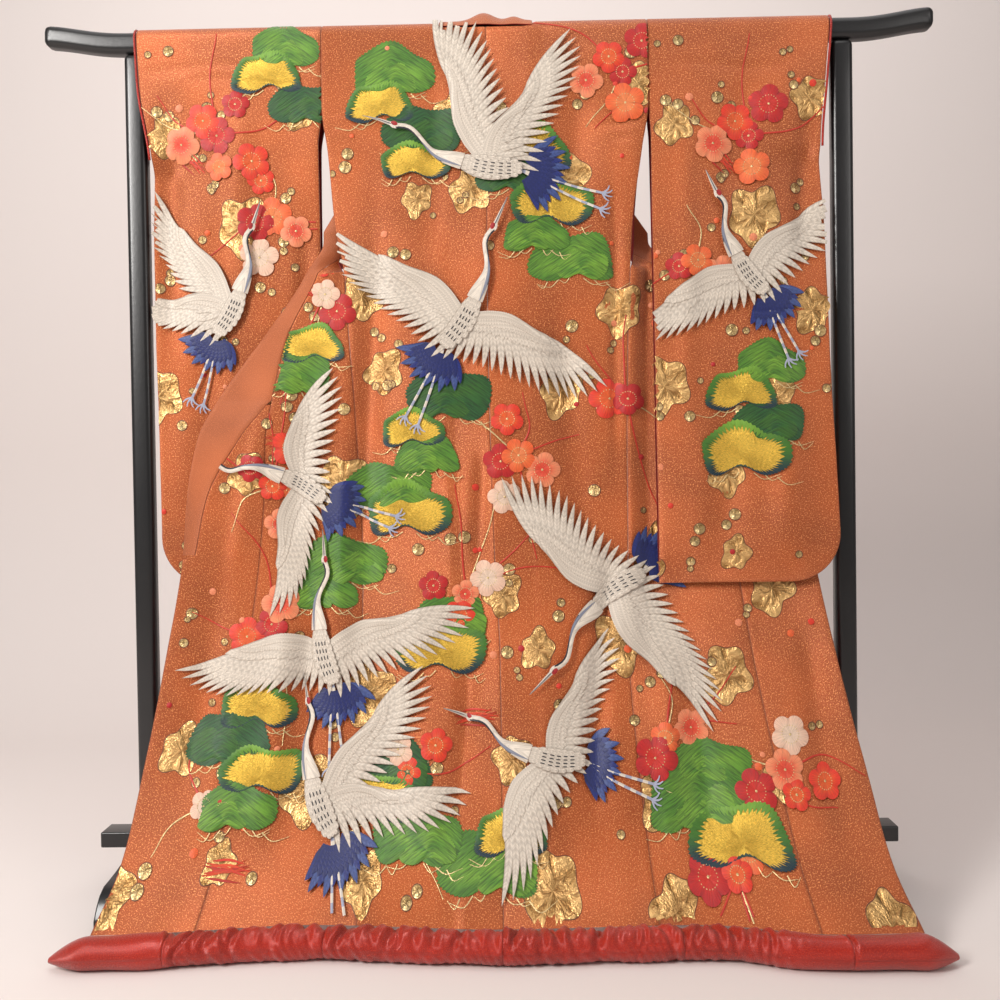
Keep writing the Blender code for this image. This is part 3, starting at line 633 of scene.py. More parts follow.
def shell_faces(tall, wide):
    """Quads of the outer face, of the inner face, and of the rim between them."""
    index = np.arange(tall * wide).reshape(tall, wide)
    a, b, c, d = index[:-1, :-1], index[1:, :-1], index[1:, 1:], index[:-1, 1:]
    outer = np.stack([a, b, c, d], axis=2).reshape(-1, 4)
    inner = outer[:, ::-1] + tall * wide
    ring = np.concatenate([index[0, :], index[1:, -1], index[-1, -2::-1], index[-2:0:-1, 0]])
    after = np.roll(ring, -1)
    rim = np.stack([ring, after, after + tall * wide, ring + tall * wide], axis=1)
    return outer, inner, rim


def signed_volume(points, quads):
    first, second, third, fourth = (points[quads[:, k]] for k in range(4))
    total = np.einsum("ij,ij->i", first, np.cross(second, third)).sum()
    return total + np.einsum("ij,ij->i", first, np.cross(third, fourth)).sum()


def new_mesh_object(name, points, faces):
    mesh = bpy.data.meshes.new(name)
    mesh.from_pydata(points.tolist(), [], faces.tolist())
    mesh.update()
    mesh.shade_smooth()
    made = bpy.data.objects.new(name, mesh)
    bpy.context.collection.objects.link(made)
    return made


def cloth_shell(name, rows, normals, outer_material, wall=WALL):
    """A closed wall of cloth around a grid of points, whose normals look out of the finished side."""
    tall, wide = rows.shape[:2]
    seam = np.zeros((tall, wide))
    # The edge columns are marked both for the seam's dip and for its painted shade in the cloth materials.
    seam[:, 0] = seam[:, -1] = 1.0
    middle = rows - normals * (seam * PULLED_IN)[:, :, None]
    outer, inner = middle + normals * wall / 2, middle - normals * wall / 2
    points = np.concatenate([outer.reshape(-1, 3), inner.reshape(-1, 3)])
    outer, inner, rim = shell_faces(tall, wide)
    faces = np.concatenate([outer, inner, rim])
    if signed_volume(points, faces) < 0:
        faces = faces[:, ::-1]
    made = new_mesh_object(name, points, faces)
    u = np.cumsum(np.linalg.norm(np.diff(rows, axis=1, prepend=rows[:, :1]), axis=2), axis=1)
    v = np.cumsum(np.linalg.norm(np.diff(rows, axis=0, prepend=rows[:1]), axis=2), axis=0)
    flat = np.stack([u, v], axis=2).reshape(-1, 2)
    layer = made.data.uv_layers.new(name="cloth")
    layer.data.foreach_set("uv", np.concatenate([flat, flat])[faces.ravel()].ravel())
    mark = made.data.attributes.new("seam", "FLOAT", "POINT")
    mark.data.foreach_set("value", np.concatenate([seam.ravel(), seam.ravel()]))
    made.data.materials.append(outer_material)
    made.data.materials.append(lining)
    kinds = np.concatenate([np.zeros(len(outer)), np.ones(len(inner) + len(rim))]).astype(int)
    made.data.polygons.foreach_set("material_index", kinds)
    rim_edges = made.data
    rim_edges.set_sharp_from_angle(angle=math.radians(50))
    return made


def height_steps(top, bottom, step=0.008):
    return np.linspace(top, bottom, max(int(round((top - bottom) / step)), 1) + 1)


def shares(columns, edge):
    """Even columns across a width, with one more close to each edge."""
    inside = np.linspace(edge, 1 - edge, columns)
    return np.concatenate([[0.0], inside, [1.0]])


# %% Surfaces for a cloth and for what is sewn on it
def surface_of(front, facing=-1):
    """Points and normals of a hanging cloth whose distance from the rail's axis is known at each place."""

    def surface(x, z):
        step = 0.003
        out = front(x, z)
        side = (front(x + step, z) - front(x - step, z)) / (2 * step)
        rise = (front(x, z + step) - front(x, z - step)) / (2 * step)
        rise = np.clip(rise, -6.0, 6.0)
        normals = np.stack([-side, np.full_like(out, facing), -rise], axis=-1)
        normals /= np.linalg.norm(normals, axis=-1, keepdims=True)
        x, z = np.broadcast_arrays(x, z)
        return np.stack([x, facing * out + RAIL_Y, z], axis=-1), normals

    return surface


body_surface = surface_of(body_front)


def finish_cloth(made, nodes):
    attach(made, "root")
    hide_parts(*nodes)
    print(made.name, len(made.data.polygons), "faces")


# %% The two halves of the back
def neck_angle(x):
    """Where the back starts on the drape over the rail: its top, or lower in the neck opening."""
    return 66.0 * (1.0 - smooth((np.abs(x) - NECK_HALF + 0.018) / 0.034))


def over_the_rail(x, start_angle, facing, steps=9, depth=0.0235):
    """Rows of the half ellipse over the rail, and their normals."""
    share = np.linspace(0.0, 1.0, steps)[:, None]
    angle = np.radians(start_angle + (90.0 - start_angle) * share)
    angle = np.broadcast_to(angle, (steps, len(x)))
    wide = np.broadcast_to(x, angle.shape)
    level = RAIL_MIDDLE + DRAPE_RISE * np.cos(angle)
    points = np.stack([wide, facing * depth * np.sin(angle) + RAIL_Y, level], axis=2)
    normals = np.stack([0 * wide, facing * DRAPE_RISE * np.sin(angle), depth * np.cos(angle)], axis=2)
    return points, normals / np.linalg.norm(normals, axis=2, keepdims=True)


def make_back(side):
    letter, word = ("l", "left") if side < 0 else ("r", "right")

    def spread(height):
        near = seam_x("side_" + letter, height) - side * SEAM / 2
        far = seam_x("middle", height) + side * SEAM / 2
        return near + (far - near) * shares(40, 0.009)

    top = spread(RAIL_MIDDLE)
    drape, drape_normals = over_the_rail(top, neck_angle(top) + 0.8, -1)
    heights = height_steps(RAIL_MIDDLE, HEM_HEIGHT)[1:]
    x = np.stack([spread(h) for h in heights])
    z = np.broadcast_to(heights[:, None], x.shape)
    fall, fall_normals = body_surface(x, z)
    rows = np.concatenate([drape, fall])
    normals = np.concatenate([drape_normals, fall_normals])
    made = cloth_shell("cloth_back_" + word, rows, normals, brocade)
    finish_cloth(made, ["back_" + word])


for side in (-1, 1):
    make_back(side)


# %% [markdown]
# ## The fronts
#
# Each front hangs from the shoulder behind the rail, turns back on itself in one soft fold and comes
# forward beside the back, where it lies open down to the hem. Its overlap panel and its collar band are cut
# from the same fall, so one set of rows is worked out for the whole front and then shared out.

# %% Rows of a whole front
FRONT_COLUMNS = 48


def front_section(side, height):
    """A row of a whole front with its collar, from the side seam to the free edge."""
    letter = "l" if side < 0 else "r"
    x0 = float(seam_x("side_" + letter, height))
    x1 = float(seam_x("edge_" + letter, height))
    share = np.linspace(0.0, 1.0, FRONT_COLUMNS + 1)
    if height <= FLAT_AGAIN:
        x = x0 + side * SEAM / 2 + (x1 - x0 - side * SEAM / 2) * share
        return body_surface(x, np.full_like(x, height))[0]
    turn = FRONT_TURN[side]
    back = float(smooth((height - FLAT_AGAIN) / (turn[-1][0] - FLAT_AGAIN)))
    level = max(height, turn[-1][0])
    values = [float(read(turn, k, level)) for k in range(1, 10)]
    inner_height = values[8] if level == height else height - 0.015 * back
    shape = []
    for k in range(4):
        z = height + (inner_height - height) * k / 3
        shape.append(np.array([values[2 * k], values[2 * k + 1] + RAIL_Y, z]))
    if back < 1:
        for k in range(4):
            x = x0 + side * 0.002 + (x1 - x0 - side * 0.002) * k / 3
            open_place = body_surface(np.array(x), np.array(height))[0]
            turned_back = back**0.4 if k < 2 else back
            shape[k] = open_place + (shape[k] - open_place) * turned_back
    t = share[:, None]
    weights = ((1 - t) ** 3, 3 * t * (1 - t) ** 2, 3 * t * t * (1 - t), t**3)
    return sum(point * weight for point, weight in zip(shape, weights))


def front_cloth(side):
    """Heights, rows and normals of a whole front from the top of the rail to the hem."""
    turn = FRONT_TURN[side][0]
    across = np.linspace(turn[1], turn[7], FRONT_COLUMNS + 1)
    ridge = over_the_rail(across, 0.8, 1, steps=8, depth=DRAPE_DEPTH)[0][:-1]
    turning = height_steps(RAIL_MIDDLE, FLAT_AGAIN, 0.007)
    heights = np.concatenate([turning, height_steps(FLAT_AGAIN, HEM_HEIGHT)[1:]])
    hanging = np.stack([front_section(side, float(h)) for h in heights])
    rows = np.concatenate([ridge, hanging])
    heights = np.concatenate([np.full(len(ridge), RAIL_MIDDLE), heights])
    normals = grid_normals(rows)
    if normals[-1, FRONT_COLUMNS // 2, 1] > 0:
        normals = -normals
    flat = heights < FLAT_AGAIN - 0.001
    normals[flat] = body_surface(rows[flat][:, :, 0], rows[flat][:, :, 2])[1]
    return heights, rows, normals


def share_of(side, height, name):
    """How far across a front row a seam line lies, 0 at the side seam and 1 at the free edge."""
    letter = "l" if side < 0 else "r"
    level = min(height, FLAT_AGAIN)
    near, far = seam_x("side_" + letter, level), seam_x("edge_" + letter, level)
    return float((seam_x(name + "_" + letter, level) - near) / (far - near))


def front_strip(cloth, start, stop, columns, keep):
    """The rows of a front between two shares of its width, which are functions of the height."""
    rows, normals = [], []
    for height, row, across in zip(*cloth):
        if not keep(height):
            continue
        t0, t1 = start(height), stop(height)
        width = np.linalg.norm(np.diff(row, axis=0), axis=1).sum()
        t0 += SEAM / 2 / width if t0 > 0 else 0.0
        t1 -= SEAM / 2 / width if t1 < 1 else 0.0
        places = (t0 + (t1 - t0) * shares(columns, 0.02)) * FRONT_COLUMNS
        stations = np.arange(FRONT_COLUMNS + 1)
        rows.append(np.stack([np.interp(places, stations, row[:, k]) for k in range(3)], axis=1))
        normals.append(np.stack([np.interp(places, stations, across[:, k]) for k in range(3)], axis=1))
    normals = np.array(normals)
    return np.array(rows), normals / np.linalg.norm(normals, axis=2, keepdims=True)


# %% Front, overlap panel and collar band
def make_front(side):
    word = "left" if side < 0 else "right"
    cloth = front_cloth(side)

    def okumi(height):
        return share_of(side, height, "okumi")

    def collar(height):
        return share_of(side, height, "collar" if height < OKUMI_TOP + 0.001 else "okumi")

    def collar_or_edge(height):
        return collar(height) if height > COLLAR_END - 0.001 else 1.0

    rows, normals = front_strip(cloth, lambda h: 0.0, okumi, 26, lambda h: True)
    made = cloth_shell("cloth_front_" + word, rows, normals, brocade)
    finish_cloth(made, ["front_" + word])
    rows, normals = front_strip(cloth, okumi, collar_or_edge, 20, lambda h: h < OKUMI_TOP + 0.001)
    made = cloth_shell("cloth_okumi_" + word, rows, normals, brocade)
    finish_cloth(made, ["okumi_" + word])
    rows, normals = front_strip(cloth, collar, lambda h: 1.0, 10, lambda h: h > COLLAR_END - 0.001)
    made = cloth_shell("cloth_collar_" + word, rows, normals, collar_silk)
    finish_cloth(made, ["collar_" + word])


for side in (-1, 1):
    make_front(side)

# %% The collar behind the neck
half = NECK_HALF - 0.006
across = np.linspace(-half, half, 45)
hump = 0.016 * np.exp(-(((across + 0.004) / 0.026) ** 2)) + 0.008 * np.exp(-(((across - 0.052) / 0.016) ** 2))
rows = []
for angle in np.linspace(-66, 90, 27):
    a = math.radians(abs(angle))
    facing = -1 if angle < 0 else 1
    lift = 0.0026 + hump * math.cos(math.radians(angle)) ** 2
    y = facing * DRAPE_DEPTH * 1.06 * math.sin(a) + RAIL_Y + 0 * across
    rows.append(np.stack([across, y, RAIL_MIDDLE + DRAPE_RISE * math.cos(a) + lift], axis=1))
last = rows[-1]
for step in range(1, 10):
    rows.append(last + np.array([0.0, 0.006 * step / 9, -0.070 * step / 9]))
rows = np.array(rows)
normals = grid_normals(rows)
if normals[2, 20, 1] > 0:
    normals = -normals
made = cloth_shell("cloth_collar_neck", rows, normals, collar_silk)
finish_cloth(made, ["collar_neck"])


# %% [markdown]
# ## The sleeves
#
# A sleeve is one long length folded over the shoulder, sewn at its outer edge below the hand opening and
# along its bottom, with a rounded corner. Its two faces share one middle surface, so that a fold in the one
# is the same fold in the other.

# %% Sleeve faces
SLEEVE_COLUMNS = 42


def make_sleeve_half(side, facing):
    word = "left" if side < 0 else "right"
    half_word = "back" if facing < 0 else "front"
    edge = 0.008
    angles = np.linspace(0.8, 90, 9)
    corner = SLEEVE_BOTTOM + SLEEVE_CORNER * (1 - np.sin(np.radians(np.linspace(0, 88, 14))))
    heights = np.concatenate([height_steps(RAIL_MIDDLE, SLEEVE_BOTTOM + SLEEVE_CORNER)[1:], corner[1:]])
    rows = []
    for angle in np.radians(angles):
        z = RAIL_MIDDLE + DRAPE_RISE * math.cos(angle)
        near, far = SLEEVES[side]["inner"], float(sleeve_outer(side, z))
        x = near + (far - near) * shares(SLEEVE_COLUMNS, edge)
        y = facing * DRAPE_DEPTH * math.sin(angle) + RAIL_Y + 0 * x
        rows.append(np.stack([x, y, z + 0 * x], axis=1))
    for z in heights:
        near, far = (float(e) for e in sleeve_edges(side, z))
        x = near + (far - near) * shares(SLEEVE_COLUMNS, edge)
        y = -sleeve_middle(side, x, z) + facing * sleeve_apart(side, x, z) + RAIL_Y
        rows.append(np.stack([x, y, z + 0 * x], axis=1))
    rows = np.array(rows)
    normals = grid_normals(rows)
    if normals[60, 20, 1] * facing < 0:
        normals = -normals
    normals[:, :, 0] *= 0.15
    normals /= np.linalg.norm(normals, axis=2, keepdims=True)
    made = cloth_shell(f"cloth_sleeve_{word}_{half_word}", rows, normals, brocade)
    finish_cloth(made, [f"sleeve_{word}_{half_word}"])


for side in (-1, 1):
    for facing in (-1, 1):
        make_sleeve_half(side, facing)


# %% The red edge of the hand opening
def tube(name, places, radius, sides, material):
    """A round cord of cloth through the places, its ends closed."""
    places = np.array(places)
    ahead = np.gradient(places, axis=0)
    ahead /= np.linalg.norm(ahead, axis=1, keepdims=True)
    sideways = np.tile([1.0, 0.0, 0.0], (len(places), 1))
    normal = np.cross(sideways, ahead)
    angle = np.linspace(0, 2 * np.pi, sides, endpoint=False)
    rings = (
        places[:, None]
        + radius * np.cos(angle)[None, :, None] * sideways[:, None]
        + radius * np.sin(angle)[None, :, None] * normal[:, None]
    )
    return ringed_solid(name, rings, material)


def ringed_solid(name, rings, material):
    """A closed solid through rings of points."""
    count, sides = rings.shape[:2]
    index = np.arange(count * sides).reshape(count, sides)
    after = np.roll(index, -1, axis=1)
    quads = np.stack([index[:-1], after[:-1], after[1:], index[1:]], axis=2).reshape(-1, 4)
    points = rings.reshape(-1, 3)
    middles = np.stack([rings[0].mean(axis=0), rings[-1].mean(axis=0)])
    points = np.concatenate([points, middles])
    first, last = count * sides, count * sides + 1
    caps = [(index[0, k], after[0, k], first)[::-1] for k in range(sides)]
    caps += [(index[-1, k], after[-1, k], last) for k in range(sides)]
    if signed_volume(points, quads) < 0:
        quads = quads[:, ::-1]
        caps = [cap[::-1] for cap in caps]
    mesh = bpy.data.meshes.new(name)
    mesh.from_pydata(points.tolist(), [], quads.tolist() + [tuple(int(k) for k in cap) for cap in caps])
    mesh.update()
    mesh.shade_smooth()
    made = bpy.data.objects.new(name, mesh)
    bpy.context.collection.objects.link(made)
    girth = np.linalg.norm(np.diff(rings, axis=1, prepend=rings[:, :1]), axis=2).cumsum(axis=1)
    length = np.linalg.norm(np.diff(rings, axis=0, prepend=rings[:1]), axis=2).cumsum(axis=0)
    flat = np.concatenate([np.stack([girth, length], axis=2).reshape(-1, 2), [[0, 0], [0, 0]]])
    layer = mesh.uv_layers.new(name="cloth")
    loops = np.empty(len(mesh.loops), int)
    mesh.loops.foreach_get("vertex_index", loops)
    layer.data.foreach_set("uv", flat[loops].ravel())
    mesh.materials.append(material)
    return made


CUFF_RADIUS = 0.0022
for side in (-1, 1):
    for facing in (-1, 1):
        word = "left" if side < 0 else "right"
        half_word = "back" if facing < 0 else "front"
        places = []
        for angle in np.radians(np.linspace(9, 90, 8)):
            z = RAIL_MIDDLE + DRAPE_RISE * math.cos(angle)
            places.append((float(sleeve_outer(side, z)), facing * DRAPE_DEPTH * math.sin(angle), z))
        for z in height_steps(1.565, CUFF_BOTTOM, 0.010):
            x = float(sleeve_outer(side, z))
            y = -float(sleeve_middle(side, np.array(x), np.array(z))) + facing * float(half_gap(z))
            places.append((x, y, z))
        stand_out = side * (CUFF_RADIUS + 4 * SEAM)
        places = [(x + stand_out, y + RAIL_Y, z) for x, y, z in places]
        made = tube(f"cuff_edge_{word}_{half_word}", places, CUFF_RADIUS, 10, hem_satin)
        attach(made, "root")
        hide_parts(f"cuff_{word}_{half_word}")

# %% [markdown]
# ## The padded hem
#
# The hem of an uchikake is a thick roll of cotton wadding in red satin, so that it trails well on the floor.
# The satin is cut longer than the hem and eased on, which gathers it into pinches all along its length. The
# roll is six solids, one for each length of cloth, and every pinch is a narrow slanting dent with a fuller
# puff on each side of it.

# %% Roll tables
ROLL_DEPTH = 0.029
ROLL_HEIGHT = 0.0245
ROLL_SEAMS = (-0.694, -0.512, -0.268, 0.015, 0.296, 0.545, 0.712)
ROLL_NAMES = ("okumi_left", "front_left", "back_left", "back_right", "front_right", "okumi_right")
ROLL_TAPER = 0.060
GATHERED = (-0.500, 0.450)

random = np.random.default_rng(7)
pinches = []
place = GATHERED[0]
while place < GATHERED[1]:
    slant, width = random.uniform(-0.014, 0.014), random.uniform(0.0030, 0.0075)
    depth, phase = random.uniform(0.0025, 0.0065), random.uniform(0, 6.3)
    pinches.append((place, slant, width, depth, phase))
    place += random.uniform(0.010, 0.028)
for seam in ROLL_SEAMS[1:-1]:
    pinches.append((seam, 0.0, 0.0030, 0.0030, 0.0))
print(len(pinches), "pinches in the hem")


def roll_rings(places, sides=44):
    places = np.asarray(places)
    end = np.minimum(places - ROLL_SEAMS[0], ROLL_SEAMS[-1] - places)
    full = (0.18 + 0.82 * np.sqrt(smooth(end / ROLL_TAPER)))[:, None]
    angle = (2 * np.pi * (np.arange(sides) + 0.5) / sides)[None, :]
    dent = np.zeros((len(places), sides))
    for middle, slant, width, depth, phase in pinches:
        bent = slant * np.sin(angle + phase) + 0.004 * np.sin(2 * angle + phase)
        away = (places[:, None] - middle - bent) / width
        reach = 0.55 + 0.45 * np.cos(angle - 1.9 - 0.6 * math.sin(phase))
        dent += depth * reach * (np.exp(-(away**2)) - 0.35 * np.exp(-((np.abs(away) - 2.1) ** 2)))
    puff = 0.0011 * np.sin(31 * places)[:, None] + 0.0008 * np.sin(57 * places + 1.0)[:, None]
    gathered = smooth((places - GATHERED[0] + 0.03) / 0.05) * smooth((GATHERED[1] + 0.06 - places) / 0.08)
    along = places[:, None]
    wrinkle = 0.0006 * np.sin(420 * along + 3.5 * np.sin(2 * angle) + 5 * np.sin(23 * along))
    grown = puff - dent + wrinkle * gathered[:, None]
    axis = ROLL_HEIGHT * (0.55 + 0.45 * full)
    y = -(read(HEM_LINE, 1, places)[:, None] + (ROLL_DEPTH * full + grown * full) * np.cos(angle)) + RAIL_Y
    z = axis + (ROLL_HEIGHT * full + grown * full) * np.sin(angle)
    x = np.broadcast_to(places[:, None], y.shape)
    return np.stack([x, y, np.maximum(z, 0.0)], axis=2)


# %% Roll pieces
for index, name in enumerate(ROLL_NAMES):
    x0 = ROLL_SEAMS[index] + (SEAM / 2 if index else 0.0)
    x1 = ROLL_SEAMS[index + 1] - (SEAM / 2 if index < 5 else 0.0)
    places = np.linspace(x0, x1, int((x1 - x0) / 0.0024))
    if index == 0:
        tip = x0 + ROLL_TAPER * np.linspace(0, 1, 30)[:-1] ** 2
        places = np.concatenate([tip, places[places > x0 + ROLL_TAPER]])
    if index == 5:
        tip = x1 - ROLL_TAPER * np.linspace(1, 0, 30)[1:] ** 2
        places = np.concatenate([places[places < x1 - ROLL_TAPER], tip])
    made = ringed_solid("padded_hem_" + name, roll_rings(places), hem_satin)
    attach(made, "root")
    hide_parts("hem_roll_" + name)
    print(made.name, len(made.data.polygons), "faces")

# %% [markdown]
# ## Needlework
#
# The cranes, pines and plum blossoms are sewn on the finished cloth with silk and gold thread. Every motif
# here is drawn flat, in the cloth's own two directions, and is then laid on the hanging cloth, so that it
# follows the folds. Each shape is a small grid of stitches that swells a little above the cloth in its
# middle, as padded satin stitch does. The grid keeps three things for each of its points: the height above
# the cloth, the dye of the thread, and where the point lies across and along the threads.

# %% A bench for stitches
FOIL = 3


class Needlework:
    """Grids of stitches in the cloth's x and z, not yet laid on it."""

    def __init__(self, base=0.0, relief=1.0):
        self.base = base
        self.relief = relief
        self.grids = []

    def grid(self, x, z, height, dye, across, along, kind=SILK):
        x = np.asarray(x, float)
        shape = x.shape
        dye = np.broadcast_to(np.asarray(dye, float), (*shape, 3))
        raised = self.base + self.relief * height
        rest = [np.broadcast_to(np.asarray(v, float), shape) for v in (raised, across, along)]
        self.grids.append((x, np.asarray(z, float), rest[0], dye, rest[1], rest[2], kind))

    def lay(self, name, surface, inside):
        """Lays the stitches on a cloth as one piece, leaving out those that miss it."""
        columns = [[] for _ in range(8)]
        count = 0
        for x, z, height, dye, across, along, kind in self.grids:
            index = np.arange(x.size).reshape(x.shape) + count
            corners = (index[:-1, :-1], index[1:, :-1], index[1:, 1:], index[:-1, 1:])
            quads = np.stack(corners, axis=2).reshape(-1, 4)
            count += x.size
            flat = (x.ravel(), z.ravel(), height.ravel(), dye.reshape(-1, 3), across.ravel(), along.ravel())
            for column, values in zip(columns, (*flat, quads, np.full(len(quads), kind))):
                column.append(values)
        x, z, height, dye, across, along, quads, kinds = (np.concatenate(column) for column in columns)
        on_cloth = inside(x[quads].mean(axis=1), z[quads].mean(axis=1))
        quads, kinds = quads[on_cloth], kinds[on_cloth]
        points, normals = surface(x, z)
        points = points + normals * (WALL / 2 + height)[:, None]
        first = points[quads[:, 1]] - points[quads[:, 0]]
        second = points[quads[:, 3]] - points[quads[:, 0]]
        facing = np.einsum("ij,ij->i", np.cross(first, second), normals[quads[:, 0]])
        quads = np.where((facing < 0)[:, None], quads[:, ::-1], quads)
        used = np.unique(quads)
        renumbered = np.full(count, -1)
        renumbered[used] = np.arange(len(used))
        quads = renumbered[quads]
        made = new_mesh_object(name, points[used], quads)
        tint = made.data.attributes.new("thread", "FLOAT_COLOR", "POINT")
        tint.data.foreach_set("color", np.column_stack([dye[used], np.ones(len(used))]).ravel())
        layer = made.data.uv_layers.new(name="stitches")
        layer.data.foreach_set("uv", np.column_stack([across[used], along[used]])[quads.ravel()].ravel())
        for material in (*THREADS, foil):
            made.data.materials.append(material)
        made.data.polygons.foreach_set("material_index", kinds)
        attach(made, "root")
        print(f"{name} {len(quads)} faces, standing up to {1000 * height[used].max():.1f} mm proud")
        return made


# %% Lines
def smooth_line(points, count):
    """Even places on a smooth curve through the points."""
    points = np.asarray(points, float)
    if len(points) == 2:
        return points[0] + (points[1] - points[0]) * np.linspace(0, 1, count)[:, None]
    ends = np.concatenate([[2 * points[0] - points[1]], points, [2 * points[-1] - points[-2]]])
    lengths = np.linalg.norm(np.diff(points, axis=0), axis=1)
    stations = np.concatenate([[0.0], np.cumsum(lengths)]) / lengths.sum()
    at = np.linspace(0, 1, count)
    i = np.clip(np.searchsorted(stations, at, side="right") - 1, 0, len(points) - 2)
    t = ((at - stations[i]) / (stations[i + 1] - stations[i]))[:, None]
    a, b, c, d = ends[i], ends[i + 1], ends[i + 2], ends[i + 3]
    return 0.5 * (2 * b + (c - a) * t + (2 * a - 5 * b + 4 * c - d) * t**2 + (3 * b - a - 3 * c + d) * t**3)


def ribbon(work, line, widths, dye, height, rise, kind=SILK, columns=5, slant=0.0):
    """A swelling band of stitches along a line; slant leans the threads away from the middle."""
    line = np.asarray(line, float)
    ahead = np.gradient(line, axis=0)
    ahead /= np.maximum(np.linalg.norm(ahead, axis=1, keepdims=True), 1e-9)
    share = np.linspace(-1, 1, columns)
    offset = share[None, :] * np.broadcast_to(widths, (len(line),))[:, None] / 2
    x = line[:, :1] - ahead[:, 1:] * offset
    z = line[:, 1:] + ahead[:, :1] * offset
    run = np.concatenate([[0.0], np.cumsum(np.linalg.norm(np.diff(line, axis=0), axis=1))])[:, None]
    across = run * slant - np.abs(offset) * (1 - slant) if slant else offset
    along = run * (1 - slant) + np.abs(offset) * slant
    work.grid(x, z, height + rise * (1 - share[None, :] ** 2) + 0 * x, dye, across, along + 0 * x, kind)


def patch(work, x, z, outline, fractions, dyes, height, rise, kind=SILK, threads="round"):
    """A closed shape filled from its outline to its middle; outline holds offsets from the middle."""
    outline = np.concatenate([outline, outline[:1]])
    fractions = np.asarray(fractions, float)[:, None]
    px = x + fractions * outline[None, :, 0]
    pz = z + fractions * outline[None, :, 1]
    if threads == "round":
        girth = np.concatenate([[0.0], np.cumsum(np.linalg.norm(np.diff(outline, axis=0), axis=1))])
        across, along = girth[None, :] + 0 * px, fractions * np.linalg.norm(outline, axis=1)[None, :]
    else:
        across = (pz - z) + 0.9 * np.abs(px - x - threads) ** 1.15
        along = px - x
    work.grid(px, pz, height + rise * (1 - fractions**2.2) + 0 * px, dyes, across, along, kind)


def circle(count, radius=1.0):
    angle = np.linspace(0, 2 * np.pi, count, endpoint=False)
    return radius * np.stack([np.cos(angle), np.sin(angle)], axis=1)


# %% [markdown]
# ## Dyes
#
# Colours are linear. White thread is a warm white with grey-brown shadows, the tails go from navy to a pale
# blue, and the pines from leaf green to a deep bottle green.

# %% Dyes
WHITE = np.array([0.80, 0.71, 0.60])
SHADOW = np.array([0.38, 0.30, 0.23])
NAVY = np.array([0.004, 0.010, 0.090])
SKY = np.array([0.055, 0.095, 0.30])
SLATE = np.array([0.34, 0.36, 0.46])
INK = np.array([0.012, 0.013, 0.022])
CROWN = np.array([0.42, 0.006, 0.010])
LEAF = np.array([0.055, 0.20, 0.012])
LEAF_PALE = np.array([0.19, 0.40, 0.030])
DEEP = np.array([0.008, 0.085, 0.018])
TEAL = np.array([0.006, 0.030, 0.045])
GOLD_DYE = np.array([0.92, 0.58, 0.085])
GOLD_PALE = np.array([0.95, 0.72, 0.36])
BROWN = np.array([0.16, 0.045, 0.012])
TWIG_RED = np.array([0.62, 0.030, 0.008])
PETALS = {
    "crimson": ((0.50, 0.006, 0.006), (0.66, 0.020, 0.008)),
    "scarlet": ((0.78, 0.035, 0.008), (0.86, 0.120, 0.015)),
    "orange": ((0.86, 0.130, 0.025), (0.88, 0.230, 0.060)),
    "peach": ((0.88, 0.270, 0.120), (0.80, 0.060, 0.020)),
    "blush": ((0.88, 0.560, 0.400), (0.86, 0.640, 0.480)),
}
print(len(PETALS), "plum colours")


# %% [markdown]
# ## Feathers
#
# A feather is a band that widens quickly from its root and ends in a point. The threads lean away from the
# shaft, which catches the light differently on its two sides. A wing is a fan: one line of roots along the
# leading edge, one line of tips, and two rows of short rounded feathers over the roots.

# %% Feather and wing
def feather(work, root, tip, width, lift, light=WHITE, dark=SHADOW, rounded=False, bend=0.06):
    root, tip = np.asarray(root, float), np.asarray(tip, float)
    way = tip - root
    side = np.array([-way[1], way[0]])
    t = np.linspace(0, 1, 7 if rounded else 11)
    line = root + way * t[:, None] + side * (bend * np.sin(np.pi * t))[:, None]
    if rounded:
        profile = (0.6 + 0.4 * smooth(t / 0.3)) * np.sqrt(np.maximum(1 - t**5, 0.0))
    else:
        profile = (0.45 + 0.55 * smooth(t / 0.35)) * np.maximum(1 - t**2.6, 0.0) ** 0.75
    shades = np.array([1.0, 0.12, 0.38, 0.0, 0.75])
    dye = light + (dark - light) * shades[:, None]
    ribbon(work, line, width * profile, dye[None], lift, 0.0006, slant=0.5)


# Each row over the long feathers: its share of their length, its width, how many more, and its lift.
COVERTS = ((0.40, 0.95, 1.5, 0.0014), (0.25, 0.85, 1.9, 0.0021), (0.12, 0.75, 2.2, 0.0027))


def wing(work, roots, tips, count, width, lift):
    start, stop = smooth_line(roots, count), smooth_line(tips, count)
    for k in range(count):
        long_one = np.linalg.norm(stop[k] - start[k])
        feather(work, start[k], stop[k], width, lift + 0.00007 * k, bend=0.05 + 0.12 * min(long_one, 0.1))
    for share, wider, more, rise in COVERTS:
        number = int(count * more)
        start, stop = smooth_line(roots, number), smooth_line(tips, number)
        for k in range(number):
            reach = share * (1 + 0.06 * math.sin(9.7 * k))
            end = start[k] + (stop[k] - start[k]) * reach
            feather(work, start[k], end, width * wider, lift + rise + 0.00004 * k, rounded=True)


# %% [markdown]
# ## Cranes
#
# A red-crowned crane has a long bill, a red cap, a black throat, a white body and wings, dark blue plumes
# behind and long grey legs that trail in flight. Each one is a few lines in metres on the cloth: bill,
# neck, body, the roots and tips of both wings, the tail and the legs.

# %% Crane
Crane = collections.namedtuple("Crane", "name cloth beak neck body girth wings tail legs")


